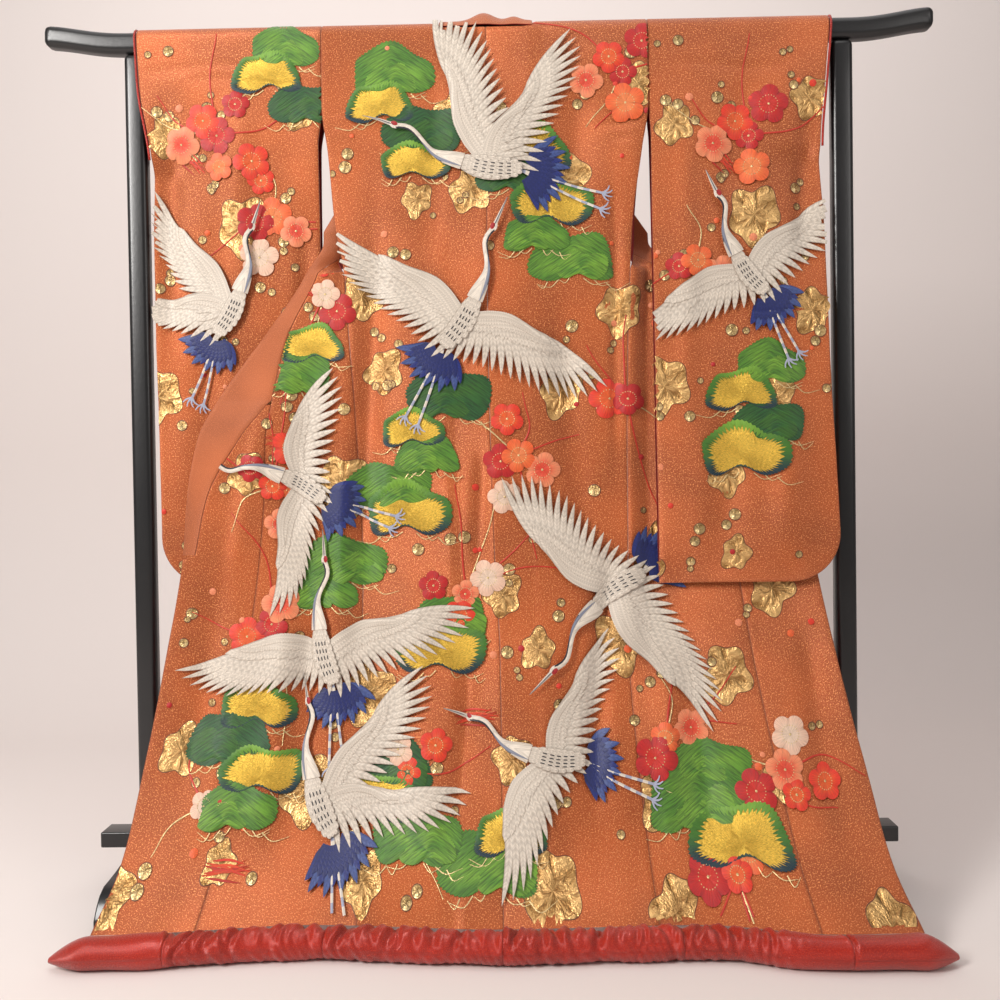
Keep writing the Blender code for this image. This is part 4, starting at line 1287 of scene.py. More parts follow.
def leg(work, line, lift):
    places = smooth_line(line, 14)
    ribbon(work, places, 0.0044, SLATE * 1.15, lift, 0.0012, columns=3)
    for k in range(1, 13, 2):
        ribbon(work, places[k : k + 2], 0.0046, WHITE, lift + 0.0003, 0.0012, columns=3)
    way = places[-1] - places[-3]
    way = way / np.linalg.norm(way)
    for turn in (-0.9, -0.3, 0.35, 0.9):
        c, s = math.cos(turn), math.sin(turn)
        toe = np.array([c * way[0] - s * way[1], s * way[0] + c * way[1]])
        middle = places[-1] + 0.011 * toe
        end = places[-1] + 0.018 * toe + 0.004 * np.array([-toe[1], toe[0]])
        line = smooth_line((places[-1], middle, end), 6)
        ribbon(work, line, np.linspace(0.0040, 0.0018, 6), SLATE * 1.3, lift, 0.0010, columns=3)


def draw_crane(crane):
    work = Needlework(base=0.0048, relief=0.50)
    for line in crane.legs:
        leg(work, line, 0.0010)
    roots, tips, count = crane.tail
    start, stop = smooth_line(roots, count), smooth_line(tips, count)
    for k in range(count):
        light, dark = ((SKY, NAVY), (NAVY * 2.2, NAVY))[k % 2]
        end = start[k] + (stop[k] - start[k]) * (1.0, 0.84)[k % 2]
        feather(work, start[k], end, 0.020, 0.0012 + 0.0001 * (k % 2), light, dark)
    for k in range(count - 1):
        middle = (start[k] + start[k + 1]) / 2
        reach = middle + (stop[k] + stop[k + 1] - start[k] - start[k + 1]) * 0.33
        feather(work, middle, reach, 0.019, 0.0018 + 0.00005 * k, NAVY * 1.6, NAVY * 0.7)
    for number, (roots, tips, count, width) in enumerate(crane.wings):
        wing(work, roots, tips, count, width, 0.0014 + 0.0012 * number)
    draw_body(work, crane)
    draw_head(work, crane)
    return work


# %% Body and head
def draw_body(work, crane):
    line = smooth_line(crane.body, 16)
    t = np.linspace(0, 1, 16)
    swell = np.sqrt(np.maximum(np.sin(np.pi * (0.06 + 0.90 * t)), 0.02))
    shades = np.array([0.55, 0.2, 0.05, 0.0, 0.0, 0.05, 0.25, 0.6])
    dye = WHITE + (SHADOW - WHITE) * shades[:, None]
    ribbon(work, line, crane.girth * swell, dye[None], 0.0070, 0.0024, columns=8, slant=0.35)
    ahead = np.gradient(line, axis=0)
    ahead /= np.linalg.norm(ahead, axis=1, keepdims=True)
    across = np.stack([-ahead[:, 1], ahead[:, 0]], axis=1)
    for row in range(7):
        for k in range(1, 15):
            place = line[k] + across[k] * crane.girth * swell[k] * (row - 3) / 7.5
            if (k + row) % 2:
                feather(work, place, place + ahead[k] * 0.013, 0.009, 0.0090 + 0.00006 * k, rounded=True)
    for row in (-1.5, -0.5, 0.5, 1.5):
        for k in range(4, 13, 2):
            place = line[k] + across[k] * crane.girth * 0.14 * row
            ribbon(work, (place, place + ahead[k] * 0.007), 0.0016, INK, 0.0112, 0.0004, columns=3)


def draw_head(work, crane):
    neck = smooth_line(crane.neck, 22)
    t = np.linspace(0, 1, 22)
    widths = 0.0090 + 0.0215 * smooth((t - 0.45) / 0.55)
    shades = np.array([0.30, 0.05, 0.0, 0.05, 0.45])
    dye = WHITE + (SHADOW - WHITE) * shades[None, :, None]
    ribbon(work, neck, widths, dye, 0.0100, 0.0018, slant=0.3)
    beak = np.asarray(crane.beak, float)
    head = neck[0]
    way = (beak - head) / np.linalg.norm(beak - head)
    edge_side = np.array([-way[1], way[0]])
    ahead = np.gradient(neck, axis=0)
    ahead /= np.linalg.norm(ahead, axis=1, keepdims=True)
    across = np.stack([-ahead[:, 1], ahead[:, 0]], axis=1)
    turning = np.cross(ahead[0], ahead[10])
    throat = 1.0 if turning > 0 else -1.0
    dark_line = neck[:17] + across[:17] * throat * (widths[:17] / 2 - 0.0010)[:, None]
    ribbon(work, dark_line, 0.0034 * (1.15 - t[:17]), INK, 0.0112, 0.0008, columns=3)
    grey_line = neck[9:] + across[9:] * throat * (widths[9:] * 0.30)[:, None]
    grey_widths = 0.0052 * np.sin(np.pi * np.linspace(0.05, 0.95, 13))
    ribbon(work, grey_line, grey_widths, SLATE * 0.7, 0.0124, 0.0006, columns=3)
    bill = (head + way * 0.004, head + way * 0.03, beak)
    ribbon(work, bill, (0.0075, 0.0048, 0.0012), WHITE * 0.78, 0.0098, 0.0014)
    parting = (head + way * 0.006, head + way * 0.03, beak)
    ribbon(work, parting, (0.0016, 0.0012, 0.0006), INK * 5, 0.0116, 0.0004, columns=3)
    outline = circle(18) * np.array([[0.0095, 0.0062]])
    turned_outline = outline[:, :1] * way + outline[:, 1:] * edge_side
    patch(work, *head, turned_outline, (1, 0.8, 0.5, 0), WHITE, 0.0108, 0.0018)
    crown = head - edge_side * throat * 0.0026 * np.sign(edge_side @ across[0]) + way * 0.001
    patch(work, *crown, turned_outline * 0.66, (1, 0.8, 0.5, 0), CROWN, 0.0124, 0.0012)
    eye = head + way * 0.003
    patch(work, *eye, circle(8, 0.0010), (1, 0.5, 0), INK, 0.0140, 0.0003)



# %% [markdown]
# ## Pines
#
# Pines stand for long life. Each tuft is a mushroom shape seen from the side. Green ones are filled with
# long mixed stitches whose edge is a little ragged, and gold ones are couched gold with a green border whose
# stitches run inwards like needles. Fine gold roots curl out from under each tuft.

# %% Pine
def pine_outline(width, height, phase, count):
    angle = np.linspace(0, 2 * np.pi, count, endpoint=False)
    x = width / 2 * np.cos(angle) * (1 + 0.10 * np.cos(3 * angle + phase))
    top = height * 0.60 * np.maximum(np.sin(angle), 0) ** 0.8 * (1 + 0.13 * np.cos(4 * angle + phase))
    foot = height * 0.40 * np.maximum(-np.sin(angle), 0) ** 0.6
    hollow = 0.24 * height * np.exp(-(((x - 0.05 * width * math.sin(phase)) / (0.20 * width)) ** 2))
    return np.stack([x, top - foot + hollow * (np.sin(angle) < 0)], axis=1)


def pine(work, x, z, width, height, kind, lift, phase):
    count = 120
    outline = pine_outline(width, height, phase, count)
    ragged = 1 + 0.022 * (-1) ** np.arange(count)
    rings = np.array([1.0, 0.93, 0.75, 0.5, 0.25, 0.0])
    angle = np.linspace(0, 2 * np.pi, count + 1)
    waves = 0.5 + 0.5 * np.sin(3 * angle + phase + 2.4 * rings[:, None])
    if kind == "gold":
        dye = np.where(waves[:, :, None] > 0.5, GOLD_DYE, GOLD_DYE * 0.92)
        patch(work, x, z, outline * 0.985, rings, dye, lift, 0.0012, GOLD)
        needle_border(work, x, z, outline * ragged[:, None], lift + 0.0010, phase)
    else:
        light, dark = (LEAF_PALE, LEAF) if kind == "leaf" else (LEAF * 0.75, DEEP)
        mix = np.clip(0.75 * waves * smooth(1.25 - rings[:, None]) + 0.15, 0, 1)[:, :, None]
        dye = dark + (light - dark) * mix
        patch(work, x, z, outline * ragged[:, None], rings, dye, lift, 0.0013, PINE, threads=0.0)
        lobe = pine_outline(width * 0.62, height * 0.62, phase + 2, count) * ragged[:, None]
        shade = dark + (light - dark) * np.clip(1 - mix, 0.15, 0.85)
        aside = width * 0.16 * math.sin(phase * 5)
        low = z - height * 0.10
        patch(work, x + aside, low, lobe, rings, shade, lift + 0.0008, 0.0012, PINE, threads=0.01)
    roots(work, x, z, width, height, lift - 0.0004, phase)


def needle_border(work, x, z, outline, lift, phase):
    """Stitches that run inwards from the edge of a gold tuft, pale green above and dark teal below."""
    count = len(outline)
    number = np.arange(count)
    inner = 0.80 + 0.055 * (-1) ** number + 0.03 * np.sin(1.7 * number) + 0.02 * np.sin(0.37 * number + phase)
    outline = np.concatenate([outline, outline[:1]])
    inner = np.concatenate([inner, inner[:1]])
    rings = np.stack([np.full(count + 1, 1.0), 0.5 + inner / 2, inner])
    low = outline[:, 1] / np.abs(outline[:, 1]).max()
    side = np.abs(outline[:, 0]) / np.abs(outline[:, 0]).max()
    dark = smooth((0.25 - low) / 0.7)[:, None]
    pale = (smooth((low - 0.3) / 0.6) * smooth(1.1 - side))[:, None]
    green = LEAF * 0.85 + (LEAF_PALE - LEAF * 0.85) * pale
    dye = green + (TEAL - green) * dark
    px = x + rings * outline[None, :, 0]
    pz = z + rings * outline[None, :, 1]
    across = np.broadcast_to(np.linspace(0, 2.2 * np.abs(outline).max() * 3, count + 1), px.shape)
    bulge = np.array([0.0, 0.0008, 0.0])[:, None]
    work.grid(px, pz, lift + bulge + 0 * px, dye[None] + 0 * px[:, :, None], across, rings * 0.05, SILK)


def roots(work, x, z, width, height, lift, phase):
    """Gold roots that curl from under a tuft to both sides."""
    for k in range(6):
        side = 1 if k % 2 else -1
        start = np.array([x + side * width * (0.05 + 0.065 * k), z - height * (0.26 + 0.02 * k)])
        reach = 0.016 + 0.007 * ((k * 7 + int(phase * 10)) % 4)
        middle = start + np.array([side * reach * 0.5, -0.010 - 0.002 * (k % 3)])
        end = start + np.array([side * reach * 1.25, -0.005 + 0.004 * math.sin(phase + k)])
        line = smooth_line((start, middle, end), 8)
        ribbon(work, line, np.linspace(0.0020, 0.0008, 8), GOLD_PALE, lift, 0.0006, GOLD, columns=3)


# %% [markdown]
# ## Plum blossoms, foil and twigs
#
# A plum blossom has five round petals and a ring of gold stamens. Under all the needlework lies the pattern
# of the brocade itself: soft-cornered shapes and dots woven in flat gold, with a thin brown outline.

# %% Blossom
def blossom(work, x, z, radius, colour, lift, turn):
    count = 60
    angle = np.linspace(0, 2 * np.pi, count, endpoint=False)
    lobes = np.abs(np.cos(2.5 * (angle - turn))) ** 0.55
    outline = circle(count) * (radius * (0.70 + 0.30 * lobes))[:, None]
    rings = np.array([1.0, 0.94, 0.82, 0.62, 0.46, 0.42, 0.22, 0.0])
    petal, heart = (np.array(c) for c in PETALS[colour])
    groove = np.concatenate([lobes, lobes[:1]])[None, :, None]
    inward = smooth((0.80 - rings) / 0.5)[:, None, None]
    bright = 0.62 + 0.38 * np.minimum(groove * 1.6 + 0.8 * (1 - rings[:, None, None]), 1)
    dye = (petal + (heart - petal) * inward) * bright
    outline_ring = np.concatenate([outline, outline[:1]])
    px = x + rings[:, None] * outline_ring[None, :, 0]
    pz = z + rings[:, None] * outline_ring[None, :, 1]
    dome = 0.0013 * np.sin(np.pi * np.clip(rings, 0.1, 1.0))[:, None] * (0.35 + 0.65 * groove[:, :, 0])
    across = np.broadcast_to(np.linspace(0, 2 * np.pi * radius, count + 1), px.shape)
    work.grid(px, pz, lift + dome, dye, across, rings[:, None] * radius + 0 * px, SILK)
    for k in range(20):
        a = 2 * np.pi * k / 20
        place = np.array([x + 0.44 * radius * math.cos(a), z + 0.44 * radius * math.sin(a)])
        patch(work, *place, circle(6, 0.0011), (1, 0.5, 0), GOLD_PALE, lift + 0.0012, 0.0006, GOLD)
    patch(work, x, z, circle(8, 0.0021), (1, 0.5, 0), GOLD_PALE, lift + 0.0008, 0.0008, GOLD)


# %% Foil shapes, dots, twigs and tufts
def outlined(work, x, z, outline, dye, lift, kind):
    """A flat woven shape with its thin brown outline."""
    patch(work, x, z, outline, (1.0, 0.8, 0.5, 0.25, 0.0), dye, lift, 0.0002, kind)
    ring = np.concatenate([outline, outline[:2]]) + np.array([x, z])
    ribbon(work, ring, 0.0013, BROWN, lift + 0.0001, 0.0003, columns=3)


def foil_shape(work, x, z, radius, phase):
    angle = np.linspace(0, 2 * np.pi, 56, endpoint=False)
    reach = 1 + 0.13 * np.sin(5 * angle + phase) + 0.09 * np.sin(3 * angle + 2.1 * phase)
    reach = reach + 0.06 * np.sin(2 * angle)
    outline = circle(56) * (radius * reach)[:, None] * np.array([[0.92, 1.08]])
    outlined(work, x, z, outline, np.array([0.82, 0.50, 0.20]), 0.0003, FOIL)


def dots(work, x, z, random):
    for k in range(random.integers(1, 3)):
        radius = random.uniform(0.0055, 0.0115)
        turn = random.uniform(0, 2 * np.pi)
        px = x + k * radius * 2.3 * math.cos(turn)
        pz = z + k * radius * 2.3 * math.sin(turn)
        dye = GOLD_PALE * random.uniform(0.7, 1.0)
        outlined(work, px, pz, circle(16, radius), dye, 0.0008 + 0.0002 * k, FOIL)


def bud(work, x, z, random):
    names = ("crimson", "scarlet", "orange", "peach")
    dye = np.array(PETALS[names[random.integers(0, 4)]][0])
    patch(work, x, z, circle(12, random.uniform(0.0040, 0.0075)), (1, 0.8, 0.5, 0), dye, 0.0010, 0.0012)


def twig(work, kind, line):
    dye, width, threads = (TWIG_RED, 0.0030, SILK) if kind == "red" else (GOLD_PALE, 0.0022, GOLD)
    places = smooth_line(line, 16)
    wander = 0.0015 * np.sin(np.linspace(0, 9, 16) + 90 * places[0, 0])
    places[:, 0] += wander
    ribbon(work, places, width * np.linspace(1.25, 0.6, 16), dye, 0.0009, 0.0007, threads, columns=3)


def tuft(work, start, stop):
    """Loose red brush strokes, as for pine bark."""
    start, stop = np.asarray(start), np.asarray(stop)
    way = stop - start
    side = np.array([-way[1], way[0]])
    for k in range(9):
        off = (k - 4) / 4
        a = start + side * 0.17 * off + way * 0.12 * math.sin(5 * k)
        b = stop + side * 0.26 * off * math.cos(3 * k) - way * 0.10 * math.cos(7 * k)
        middle = (a + b) / 2 + side * 0.10 * math.sin(4 * k)
        dye = TWIG_RED * (0.8 + 0.35 * (k % 3) / 2) + np.array([0.10, 0.03, 0.0]) * (k % 2)
        widths = np.array([1, 3, 3.4, 3.4, 3, 2, 0.8]) * 0.001
        ribbon(work, smooth_line((a, middle, b), 7), widths, dye, 0.0008, 0.0007, columns=3)



# %% [markdown]
# ## Composing the pattern
#
# The pattern is composed here by rules. Nine cranes fly among stacks of pine pads and sprays of
# plum. The crane is drawn once, flying level along +x, from its own anatomy, in three poses of the wings,
# and is then turned, sized and mirrored. Pines, plums and woven gold are laid out by rules from a few
# centres, and a seeded generator makes them uneven.

# %% A crane in flight
# Each wing: which side of the body, arm angle, arm length, angle and length of the outermost feather,
# angle and length of the innermost one. Angles are in degrees from the way it flies.
WING_POSES = {
    "soaring": ((1, 128, 0.15, 112, 0.20, 178, 0.12), (1, 74, 0.15, 66, 0.19, 160, 0.10)),
    "gliding": ((1, 98, 0.15, 96, 0.20, 176, 0.12), (-1, 84, 0.14, 92, 0.20, 172, 0.11)),
    "turning": ((1, 118, 0.15, 112, 0.19, 182, 0.11), (-1, 70, 0.12, 96, 0.18, 166, 0.10)),
}
SHOULDER = np.array([0.045, 0.0])
RUMP = np.array([-0.065, 0.0])
FEATHER_PITCH = 0.0170


def heading_of(degrees):
    return np.stack([np.cos(np.radians(degrees)), np.sin(np.radians(degrees))], axis=-1)


def wing_lines(side, arm_angle, arm, outer_angle, outer, inner_angle, inner):
    """The roots along the arm, wrist first, and the tips of the fan."""
    along = np.array([0.0, 0.08, 0.22, 0.45, 0.72, 1.0])
    share = np.linspace(0, 1, len(along))
    wrist = SHOULDER + arm * heading_of(arm_angle)
    roots = wrist + (SHOULDER - 0.030 * np.array([1, 0]) - wrist) * along[:, None]
    roots[1:-1] += 0.022 * np.sin(np.pi * along[1:-1])[:, None] * heading_of(arm_angle - 90)
    lengths = outer + (inner - outer) * smooth(share)
    tips = roots + lengths[:, None] * heading_of(outer_angle + (inner_angle - outer_angle) * share)
    mirror = np.array([1, side])
    return roots * mirror, tips * mirror


def crane(name, cloth, x, z, heading, size, pose, mirrored):
    """A crane with its body's middle at x and z."""
    ahead = heading_of(heading)
    flip = -1 if mirrored else 1

    def placed(points):
        points = np.asarray(points, float) * size * np.array([1, flip])
        return np.array([x, z]) + points[:, :1] * ahead + points[:, 1:] * np.array([-ahead[1], ahead[0]])

    wings = []
    for row in WING_POSES[pose]:
        base, ends = (placed(line) for line in wing_lines(*row))
        count = int(np.linalg.norm(np.diff(ends, axis=0), axis=1).sum() / FEATHER_PITCH)
        wings.append((base, ends, count, 0.0175))
    neck = placed([(0.200, 0.052), (0.165, 0.050), (0.115, 0.012), (0.050, 0.0)])
    tail_angles = np.array([128, 155, 182, 210, 236])
    tail_roots = placed(RUMP + 0.022 * heading_of(tail_angles))
    tail_tips = placed(RUMP + 0.105 * heading_of(tail_angles))
    legs = [placed([RUMP, RUMP + (-0.10, -0.022 * k), RUMP + (-0.175, -0.036 * k)]) for k in (0.5, 1.4)]
    beak = placed([(0.268, 0.064)])[0]
    body = placed([SHOULDER + (0.012, 0), (-0.01, -0.006), RUMP])
    return Crane(name, cloth, beak, neck, body, 0.050 * size, wings, (tail_roots, tail_tips, 12), legs)


# %% Nine cranes
CRANES = (
    # name, cloth, x, z, heading, size, pose, mirrored
    crane("crane_shoulder", "body", 0.00, 1.33, 170, 0.90, "soaring", True),
    crane("crane_back", "body", -0.05, 1.05, 55, 0.85, "gliding", False),
    crane("crane_waist", "body", 0.22, 0.55, 215, 0.85, "gliding", False),
    crane("crane_overlap", "body", -0.35, 0.75, 150, 0.75, "turning", False),
    crane("crane_skirt", "body", -0.30, 0.45, 105, 0.80, "gliding", True),
    crane("crane_pine", "body", -0.30, 0.20, 115, 0.80, "soaring", True),
    crane("crane_hem", "body", 0.10, 0.27, 170, 0.75, "turning", True),
    crane("crane_left_sleeve", "sleeve_left", -0.48, 1.08, 60, 0.75, "soaring", False),
    crane("crane_right_sleeve", "sleeve_right", 0.47, 1.13, 125, 0.72, "gliding", True),
)
print(len(CRANES), "cranes")

# %% Pines in stacks, plums in sprays
PINE_STACKS = {
    # x and z of the top pad, number of pads, lean to the right for each pad
    "body": (
        (-0.20, 1.50, 4, 0.03),
        (0.05, 1.35, 5, 0.02),
        (-0.10, 0.90, 5, -0.02),
        (-0.35, 1.00, 2, 0.01),
        (-0.30, 0.60, 2, 0.02),
        (-0.10, 0.50, 2, 0.03),
        (-0.45, 0.35, 4, 0.01),
        (-0.20, 0.25, 3, 0.02),
        (0.00, 0.15, 2, 0.02),
        (0.35, 0.25, 3, 0.02),
    ),
    "sleeve_left": ((-0.40, 1.55, 3, 0.02),),
    "sleeve_right": ((0.48, 0.95, 4, 0.00),),
}
PLUM_SPRAYS = {
    # x, z, number of flowers
    "body": (
        (0.25, 1.50, 5),
        (0.05, 0.80, 5),
        (-0.05, 0.55, 4),
        (-0.30, 1.10, 3),
        (-0.40, 0.75, 5),
        (-0.40, 0.50, 3),
        (-0.15, 0.25, 4),
        (0.25, 0.90, 2),
        (0.30, 0.30, 3),
        (0.50, 0.25, 5),
        (-0.50, 0.20, 2),
        (0.40, 0.10, 3),
    ),
    "sleeve_left": ((-0.50, 1.40, 6), (-0.40, 1.25, 5)),
    "sleeve_right": ((0.48, 1.38, 5), (0.38, 1.15, 3)),
}
# x from, x to, z from, z to, number of dot groups
SPAN = {
    "body": (-0.60, 0.60, 0.08, 1.56, 120),
    "sleeve_left": (-0.64, -0.31, 0.58, 1.56, 34),
    "sleeve_right": (0.30, 0.63, 0.58, 1.56, 34),
}
PINE_KINDS = ("leaf", "gold", "deep", "gold", "leaf")
GOLDEN_ANGLE = 2.4


def stacked_pines(cloth, random):
    """Pads from the top down, each a little lower and to one side."""
    pads = []
    for number, (x, z, count, lean) in enumerate(PINE_STACKS[cloth]):
        for k in range(count):
            width = random.uniform(0.11, 0.17)
            swing = 0.025 * (-1) ** k
            kind = PINE_KINDS[(number + k) % len(PINE_KINDS)]
            pads.append((x + swing + lean * k, z, width, width * random.uniform(0.55, 0.70), kind))
            z -= random.uniform(0.042, 0.060)
    return pads


def sprayed_plums(cloth, random):
    """Flowers round each centre on an opening spiral."""
    flowers = []
    names = ("crimson", "scarlet", "orange", "crimson", "peach", "scarlet", "blush")
    for number, (x, z, count) in enumerate(PLUM_SPRAYS[cloth]):
        for k in range(count):
            turn = GOLDEN_ANGLE * k + number
            reach = 0.034 * math.sqrt(k)
            radius = random.uniform(0.024, 0.038)
            colour = names[(2 * number + k) % len(names)]
            flowers.append((x + reach * math.cos(turn), z + 1.2 * reach * math.sin(turn), radius, colour))
    return flowers


def scattered_gold(cloth, random):
    """Woven shapes on a loose grid."""
    x0, x1, z0, z1, _ = SPAN[cloth]
    pitch = 0.17
    shapes = []
    for row, z in enumerate(np.arange(z0, z1, pitch)):
        for x in np.arange(x0 + pitch / 2 * (row % 2), x1, pitch):
            at = random.uniform(-0.045, 0.045, 2)
            radius = random.uniform(0.026, 0.052)
            if random.random() < 0.62:
                shapes.append((x + at[0], z + at[1], radius))
    return shapes


def growing_twigs(cloth, random):
    """Two or three twigs from each spray, red or gold."""
    twigs = []
    for x, z, _ in PLUM_SPRAYS[cloth]:
        for k in range(4):
            way = heading_of(random.uniform(0, 360))
            reach = random.uniform(0.10, 0.22)
            aside = random.uniform(-0.03, 0.03) * np.array([-way[1], way[0]])
            start = np.array([x, z])
            line = (start, start + way * reach / 2 + aside, start + way * reach)
            twigs.append(("red" if k else "gold", line))
    return twigs


def brushed_tufts(cloth, random):
    tufts = []
    for x, z, _ in PLUM_SPRAYS[cloth][::2]:
        start = np.array([x, z]) + random.uniform(-0.10, 0.10, 2)
        tufts.append((start, start + 0.065 * heading_of(random.uniform(-40, 40))))
    return tufts
# %% Which stitches miss the cloth
def on_body(x, z):
    level = np.clip(z, HEM_HEIGHT, RAIL_MIDDLE)
    opened = smooth((FLAT_AGAIN - level) / 0.004)
    left = seam_x("side_l", level) + (seam_x("collar_l", level) - seam_x("side_l", level)) * opened
    below_collar = smooth((COLLAR_END - level) / 0.004)
    left = left + (seam_x("edge_l", level) - left) * below_collar
    edge_right = seam_x("edge_r", level)
    right = seam_x("side_r", level) + (edge_right - seam_x("side_r", level)) * opened
    top = RAIL_MIDDLE + DRAPE_RISE * np.cos(np.radians(neck_angle(x) + 3.0)) * 0.985
    return (x > left + 0.002) & (x < right - 0.002) & (z < top) & (z > HEM_HEIGHT + 0.008)


def on_sleeve(side):
    def inside(x, z):
        near, far = sleeve_edges(side, z)
        lowest, highest = np.minimum(near, far), np.maximum(near, far)
        below_top = z < RAIL_MIDDLE + DRAPE_RISE * 0.95
        return (x > lowest + 0.0015) & (x < highest - 0.0015) & (z > SLEEVE_BOTTOM + 0.001) & below_top

    return inside


CLOTHS = {
    "body": (body_surface, on_body),
    "sleeve_left": (surface_of(sleeve_front(-1)), on_sleeve(-1)),
    "sleeve_right": (surface_of(sleeve_front(1)), on_sleeve(1)),
}
BEHIND = {
    "sleeve_left": (surface_of(sleeve_behind(-1), facing=1), on_sleeve(-1)),
    "sleeve_right": (surface_of(sleeve_behind(1), facing=1), on_sleeve(1)),
}
print("cloths to sew on:", ", ".join(CLOTHS))


# %% Sewing
def sew_ground(cloth, random):
    """The woven gold, the twigs and the buds, which lie lowest."""
    work = Needlework()
    for k, (x, z, radius) in enumerate(scattered_gold(cloth, random)):
        foil_shape(work, x, z, radius, 1.3 * k)
    x0, x1, z0, z1, count = SPAN[cloth]
    for _ in range(count):
        dots(work, random.uniform(x0, x1), random.uniform(z0, z1), random)
    for _ in range(count // 2):
        bud(work, random.uniform(x0, x1), random.uniform(z0, z1), random)
    for kind, line in growing_twigs(cloth, random):
        twig(work, kind, line)
    for start, stop in brushed_tufts(cloth, random):
        tuft(work, start, stop)
    return work


def sew_pines(cloth, random):
    work = Needlework()
    for k, (x, z, width, height, kind) in enumerate(stacked_pines(cloth, random)):
        pine(work, x, z, width, height, kind, 0.0010 + 0.0005 * (k % 4), 1.9 * k)
    return work


def sew_blossoms(cloth, random):
    work = Needlework()
    for k, (x, z, radius, colour) in enumerate(sprayed_plums(cloth, random)):
        blossom(work, x, z, radius, colour, 0.0014 + 0.0008 * (k % 3), 0.9 * k)
    return work


for cloth, (surface, inside) in CLOTHS.items():
    random = np.random.default_rng(11)
    makers = {"ground": sew_ground, "pines": sew_pines, "blossoms": sew_blossoms}
    for kind, sew in makers.items():
        work = sew(cloth, random)
        work.lay(f"{kind}_{cloth}", surface, inside)
        if cloth in BEHIND:
            work.lay(f"{kind}_{cloth}_behind", *BEHIND[cloth])
for bird in CRANES:
    work = draw_crane(bird)
    work.lay(bird.name, *CLOTHS[bird.cloth])
    if bird.cloth in BEHIND:
        work.lay(bird.name + "_behind", *BEHIND[bird.cloth])

# %% [markdown]
# ## The stand
#
# The stand is lacquered wood: a rail with upturned ends on two posts, a low stretcher with a wide face, and
# two runners on the floor. Each piece starts as a cube at its size, is shaped in edit mode, and gets its
# rounded edges from a bevel.

# %% Helpers for the stand
def only(made):
    bpy.ops.object.select_all(action="DESELECT")
    made.select_set(True)
    bpy.context.view_layer.objects.active = made


def block(name, low, high):
    """A cube stretched between two corners, its place in its mesh."""
    bpy.ops.object.select_all(action="DESELECT")
    middle = [(a + b) / 2 for a, b in zip(low, high)]
    bpy.ops.mesh.primitive_cube_add(size=1.0, location=middle, scale=[b - a for a, b in zip(low, high)])
    made = bpy.context.active_object
    made.name = name
    made.data.name = name
    bpy.ops.object.transform_apply(location=True, rotation=True, scale=True)
    return made


def cut_across(made, axis, places):
    """Cuts a block square across an axis at each place."""
    only(made)
    bpy.ops.object.mode_set(mode="EDIT")
    for place in places:
        bpy.ops.mesh.select_all(action="SELECT")
        point = [0.0, 0.0, 0.0]
        normal = [0.0, 0.0, 0.0]
        point[axis] = place
        normal[axis] = 1.0
        bpy.ops.mesh.bisect(plane_co=point, plane_no=normal)
    bpy.ops.object.mode_set(mode="OBJECT")


def lacquered(made, width, segments, node):
    """Rounds the edges, and stands the piece in for its plain node."""
    only(made)
    bevel = made.modifiers.new("rounded edges", "BEVEL")
    bevel.width = width
    bevel.segments = segments
    bevel.limit_method = "ANGLE"
    bevel.angle_limit = math.radians(50)
    bpy.ops.object.modifier_apply(modifier=bevel.name)
    bpy.ops.object.shade_smooth_by_angle(angle=math.radians(35))
    made.data.materials.clear()
    made.data.materials.append(lacquer)
    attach(made, "root")
    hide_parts(node)
    print(made.name, len(made.data.polygons), "faces")


# %% Rail
low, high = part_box("stand_rail")
RAIL_UPTURN = 0.016
rail_half = (high.x - low.x) / 2
rail_middle = (high.x + low.x) / 2
rail = block("lacquered_rail", (low.x, low.y, low.z), (high.x, high.y, high.z - RAIL_UPTURN))
cuts = [rail_middle + s * rail_half * t for s in (-1, 1) for t in np.linspace(0.78, 0.985, 14)]
cut_across(rail, 0, cuts)
for vertex in rail.data.vertices:
    out = (abs(vertex.co.x - rail_middle) / rail_half - 0.80) / 0.20
    vertex.co.z += RAIL_UPTURN * float(smooth(out)) ** 1.5
lacquered(rail, 0.0145, 7, "stand_rail")

# %% Posts and stretcher
for word in ("left", "right"):
    low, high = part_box("stand_post_" + word)
    post = block("lacquered_post_" + word, low, high)
    cut_across(post, 2, np.linspace(low.z, high.z, 12)[1:-1])
    lacquered(post, 0.011, 6, "stand_post_" + word)
low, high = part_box("stand_stretcher")
stretcher = block("lacquered_stretcher", low, high)
cut_across(stretcher, 0, np.linspace(low.x, high.x, 16)[1:-1])
lacquered(stretcher, 0.003, 5, "stand_stretcher")

# %% Runners
for word in ("left", "right"):
    low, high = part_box("stand_foot_" + word)
    foot = block("lacquered_runner_" + word, low, high)
    middle, half = (low.y + high.y) / 2, (high.y - low.y) / 2
    shares_out = (0.30, 0.42, 0.55, 0.68, 0.79, 0.87, 0.925, 0.96, 0.985)
    stations = [middle + side * half * share for side in (-1, 1) for share in shares_out]
    cut_across(foot, 1, stations)
    for vertex in foot.data.vertices:
        if vertex.co.z > low.z + 0.001:
            out = abs(vertex.co.y - middle) / half
            fall = 0.011 * float(smooth((out - 0.28) / 0.45)) + 0.047 * max((out - 0.72) / 0.28, 0.0) ** 2.4
            vertex.co.z -= fall
    lacquered(foot, 0.0035, 5, "stand_foot_" + word)

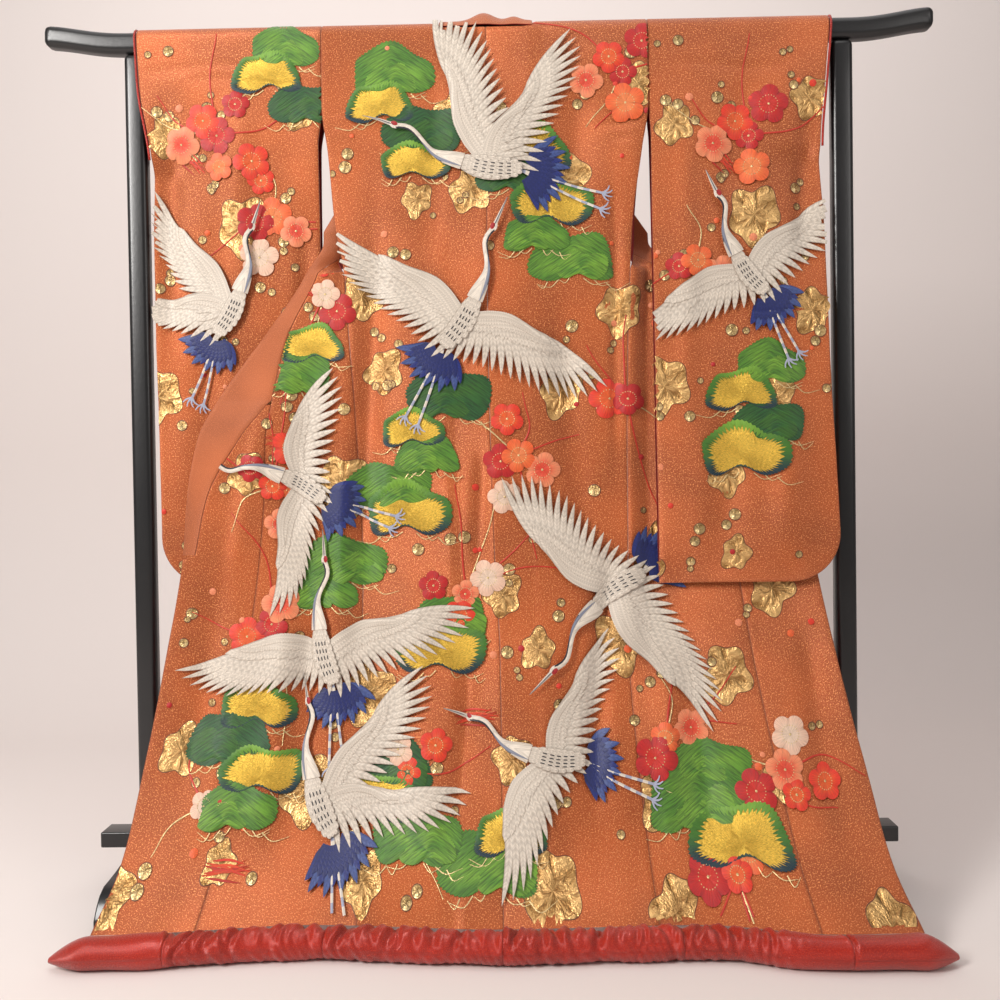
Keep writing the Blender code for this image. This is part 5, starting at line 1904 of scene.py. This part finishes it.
# %% [markdown]
# ## Floor, backdrop and light
#
# The floor runs up into a pale backdrop in one sweep. Two wide soft lights stand in front on both sides,
# and a weaker one comes from above, so that the silk shines and the shadows stay soft.

# %% Stage
paper, tree, shader = new_material("pale_paper", 0.9)
shader.inputs["Base Color"].default_value = (0.80, 0.73, 0.70, 1.0)
wide = np.linspace(-6.0, 6.0, 3)
profile = [(-4.0, 0.0), (1.10, 0.0)]
profile += [(1.10 + 0.9 * math.sin(a), 0.9 * (1 - math.cos(a))) for a in np.linspace(0.08, math.pi / 2, 16)]
profile += [(2.0, 6.0)]
points = np.array([(x, y, z) for y, z in profile for x in wide])
index = np.arange(len(points)).reshape(len(profile), 3)
quads = np.stack([index[:-1, :-1], index[:-1, 1:], index[1:, 1:], index[1:, :-1]], axis=2).reshape(-1, 4)
backdrop = new_mesh_object("backdrop", points, quads)
backdrop.data.materials.append(paper)


def soft_light(name, place, aim, size, power, colour):
    light = bpy.data.lights.new(name, "AREA")
    light.shape = "RECTANGLE"
    light.size, light.size_y = size
    light.energy = power
    light.color = colour
    made = bpy.data.objects.new(name, light)
    made.location = place
    direction = Matrix.Identity(3).col[0].copy()
    direction.xyz = [a - p for a, p in zip(aim, place)]
    made.rotation_euler = direction.to_track_quat("-Z", "Y").to_euler()
    bpy.context.collection.objects.link(made)


soft_light("window_left", (-2.3, -2.2, 2.3), (0.0, 0.0, 0.8), (0.9, 1.3), 112, (1.0, 0.97, 0.94))
soft_light("window_right", (2.5, -2.4, 2.0), (0.0, 0.0, 0.8), (1.4, 1.8), 20, (1.0, 0.96, 0.93))
soft_light("ceiling", (0.0, -0.8, 3.6), (0.0, 0.0, 0.6), (3.0, 2.4), 34, (1.0, 0.98, 0.97))
soft_light("wash", (0.0, 0.9, 3.4), (0.0, 2.0, 1.2), (3.4, 0.8), 14, (1.0, 0.97, 0.97))
world = bpy.data.worlds.new("room")
world.use_nodes = True
world.node_tree.nodes["Background"].inputs["Color"].default_value = (1.0, 0.96, 0.94, 1.0)
world.node_tree.nodes["Background"].inputs["Strength"].default_value = 0.20
bpy.context.scene.world = world
bpy.context.scene.view_settings.view_transform = "Standard"
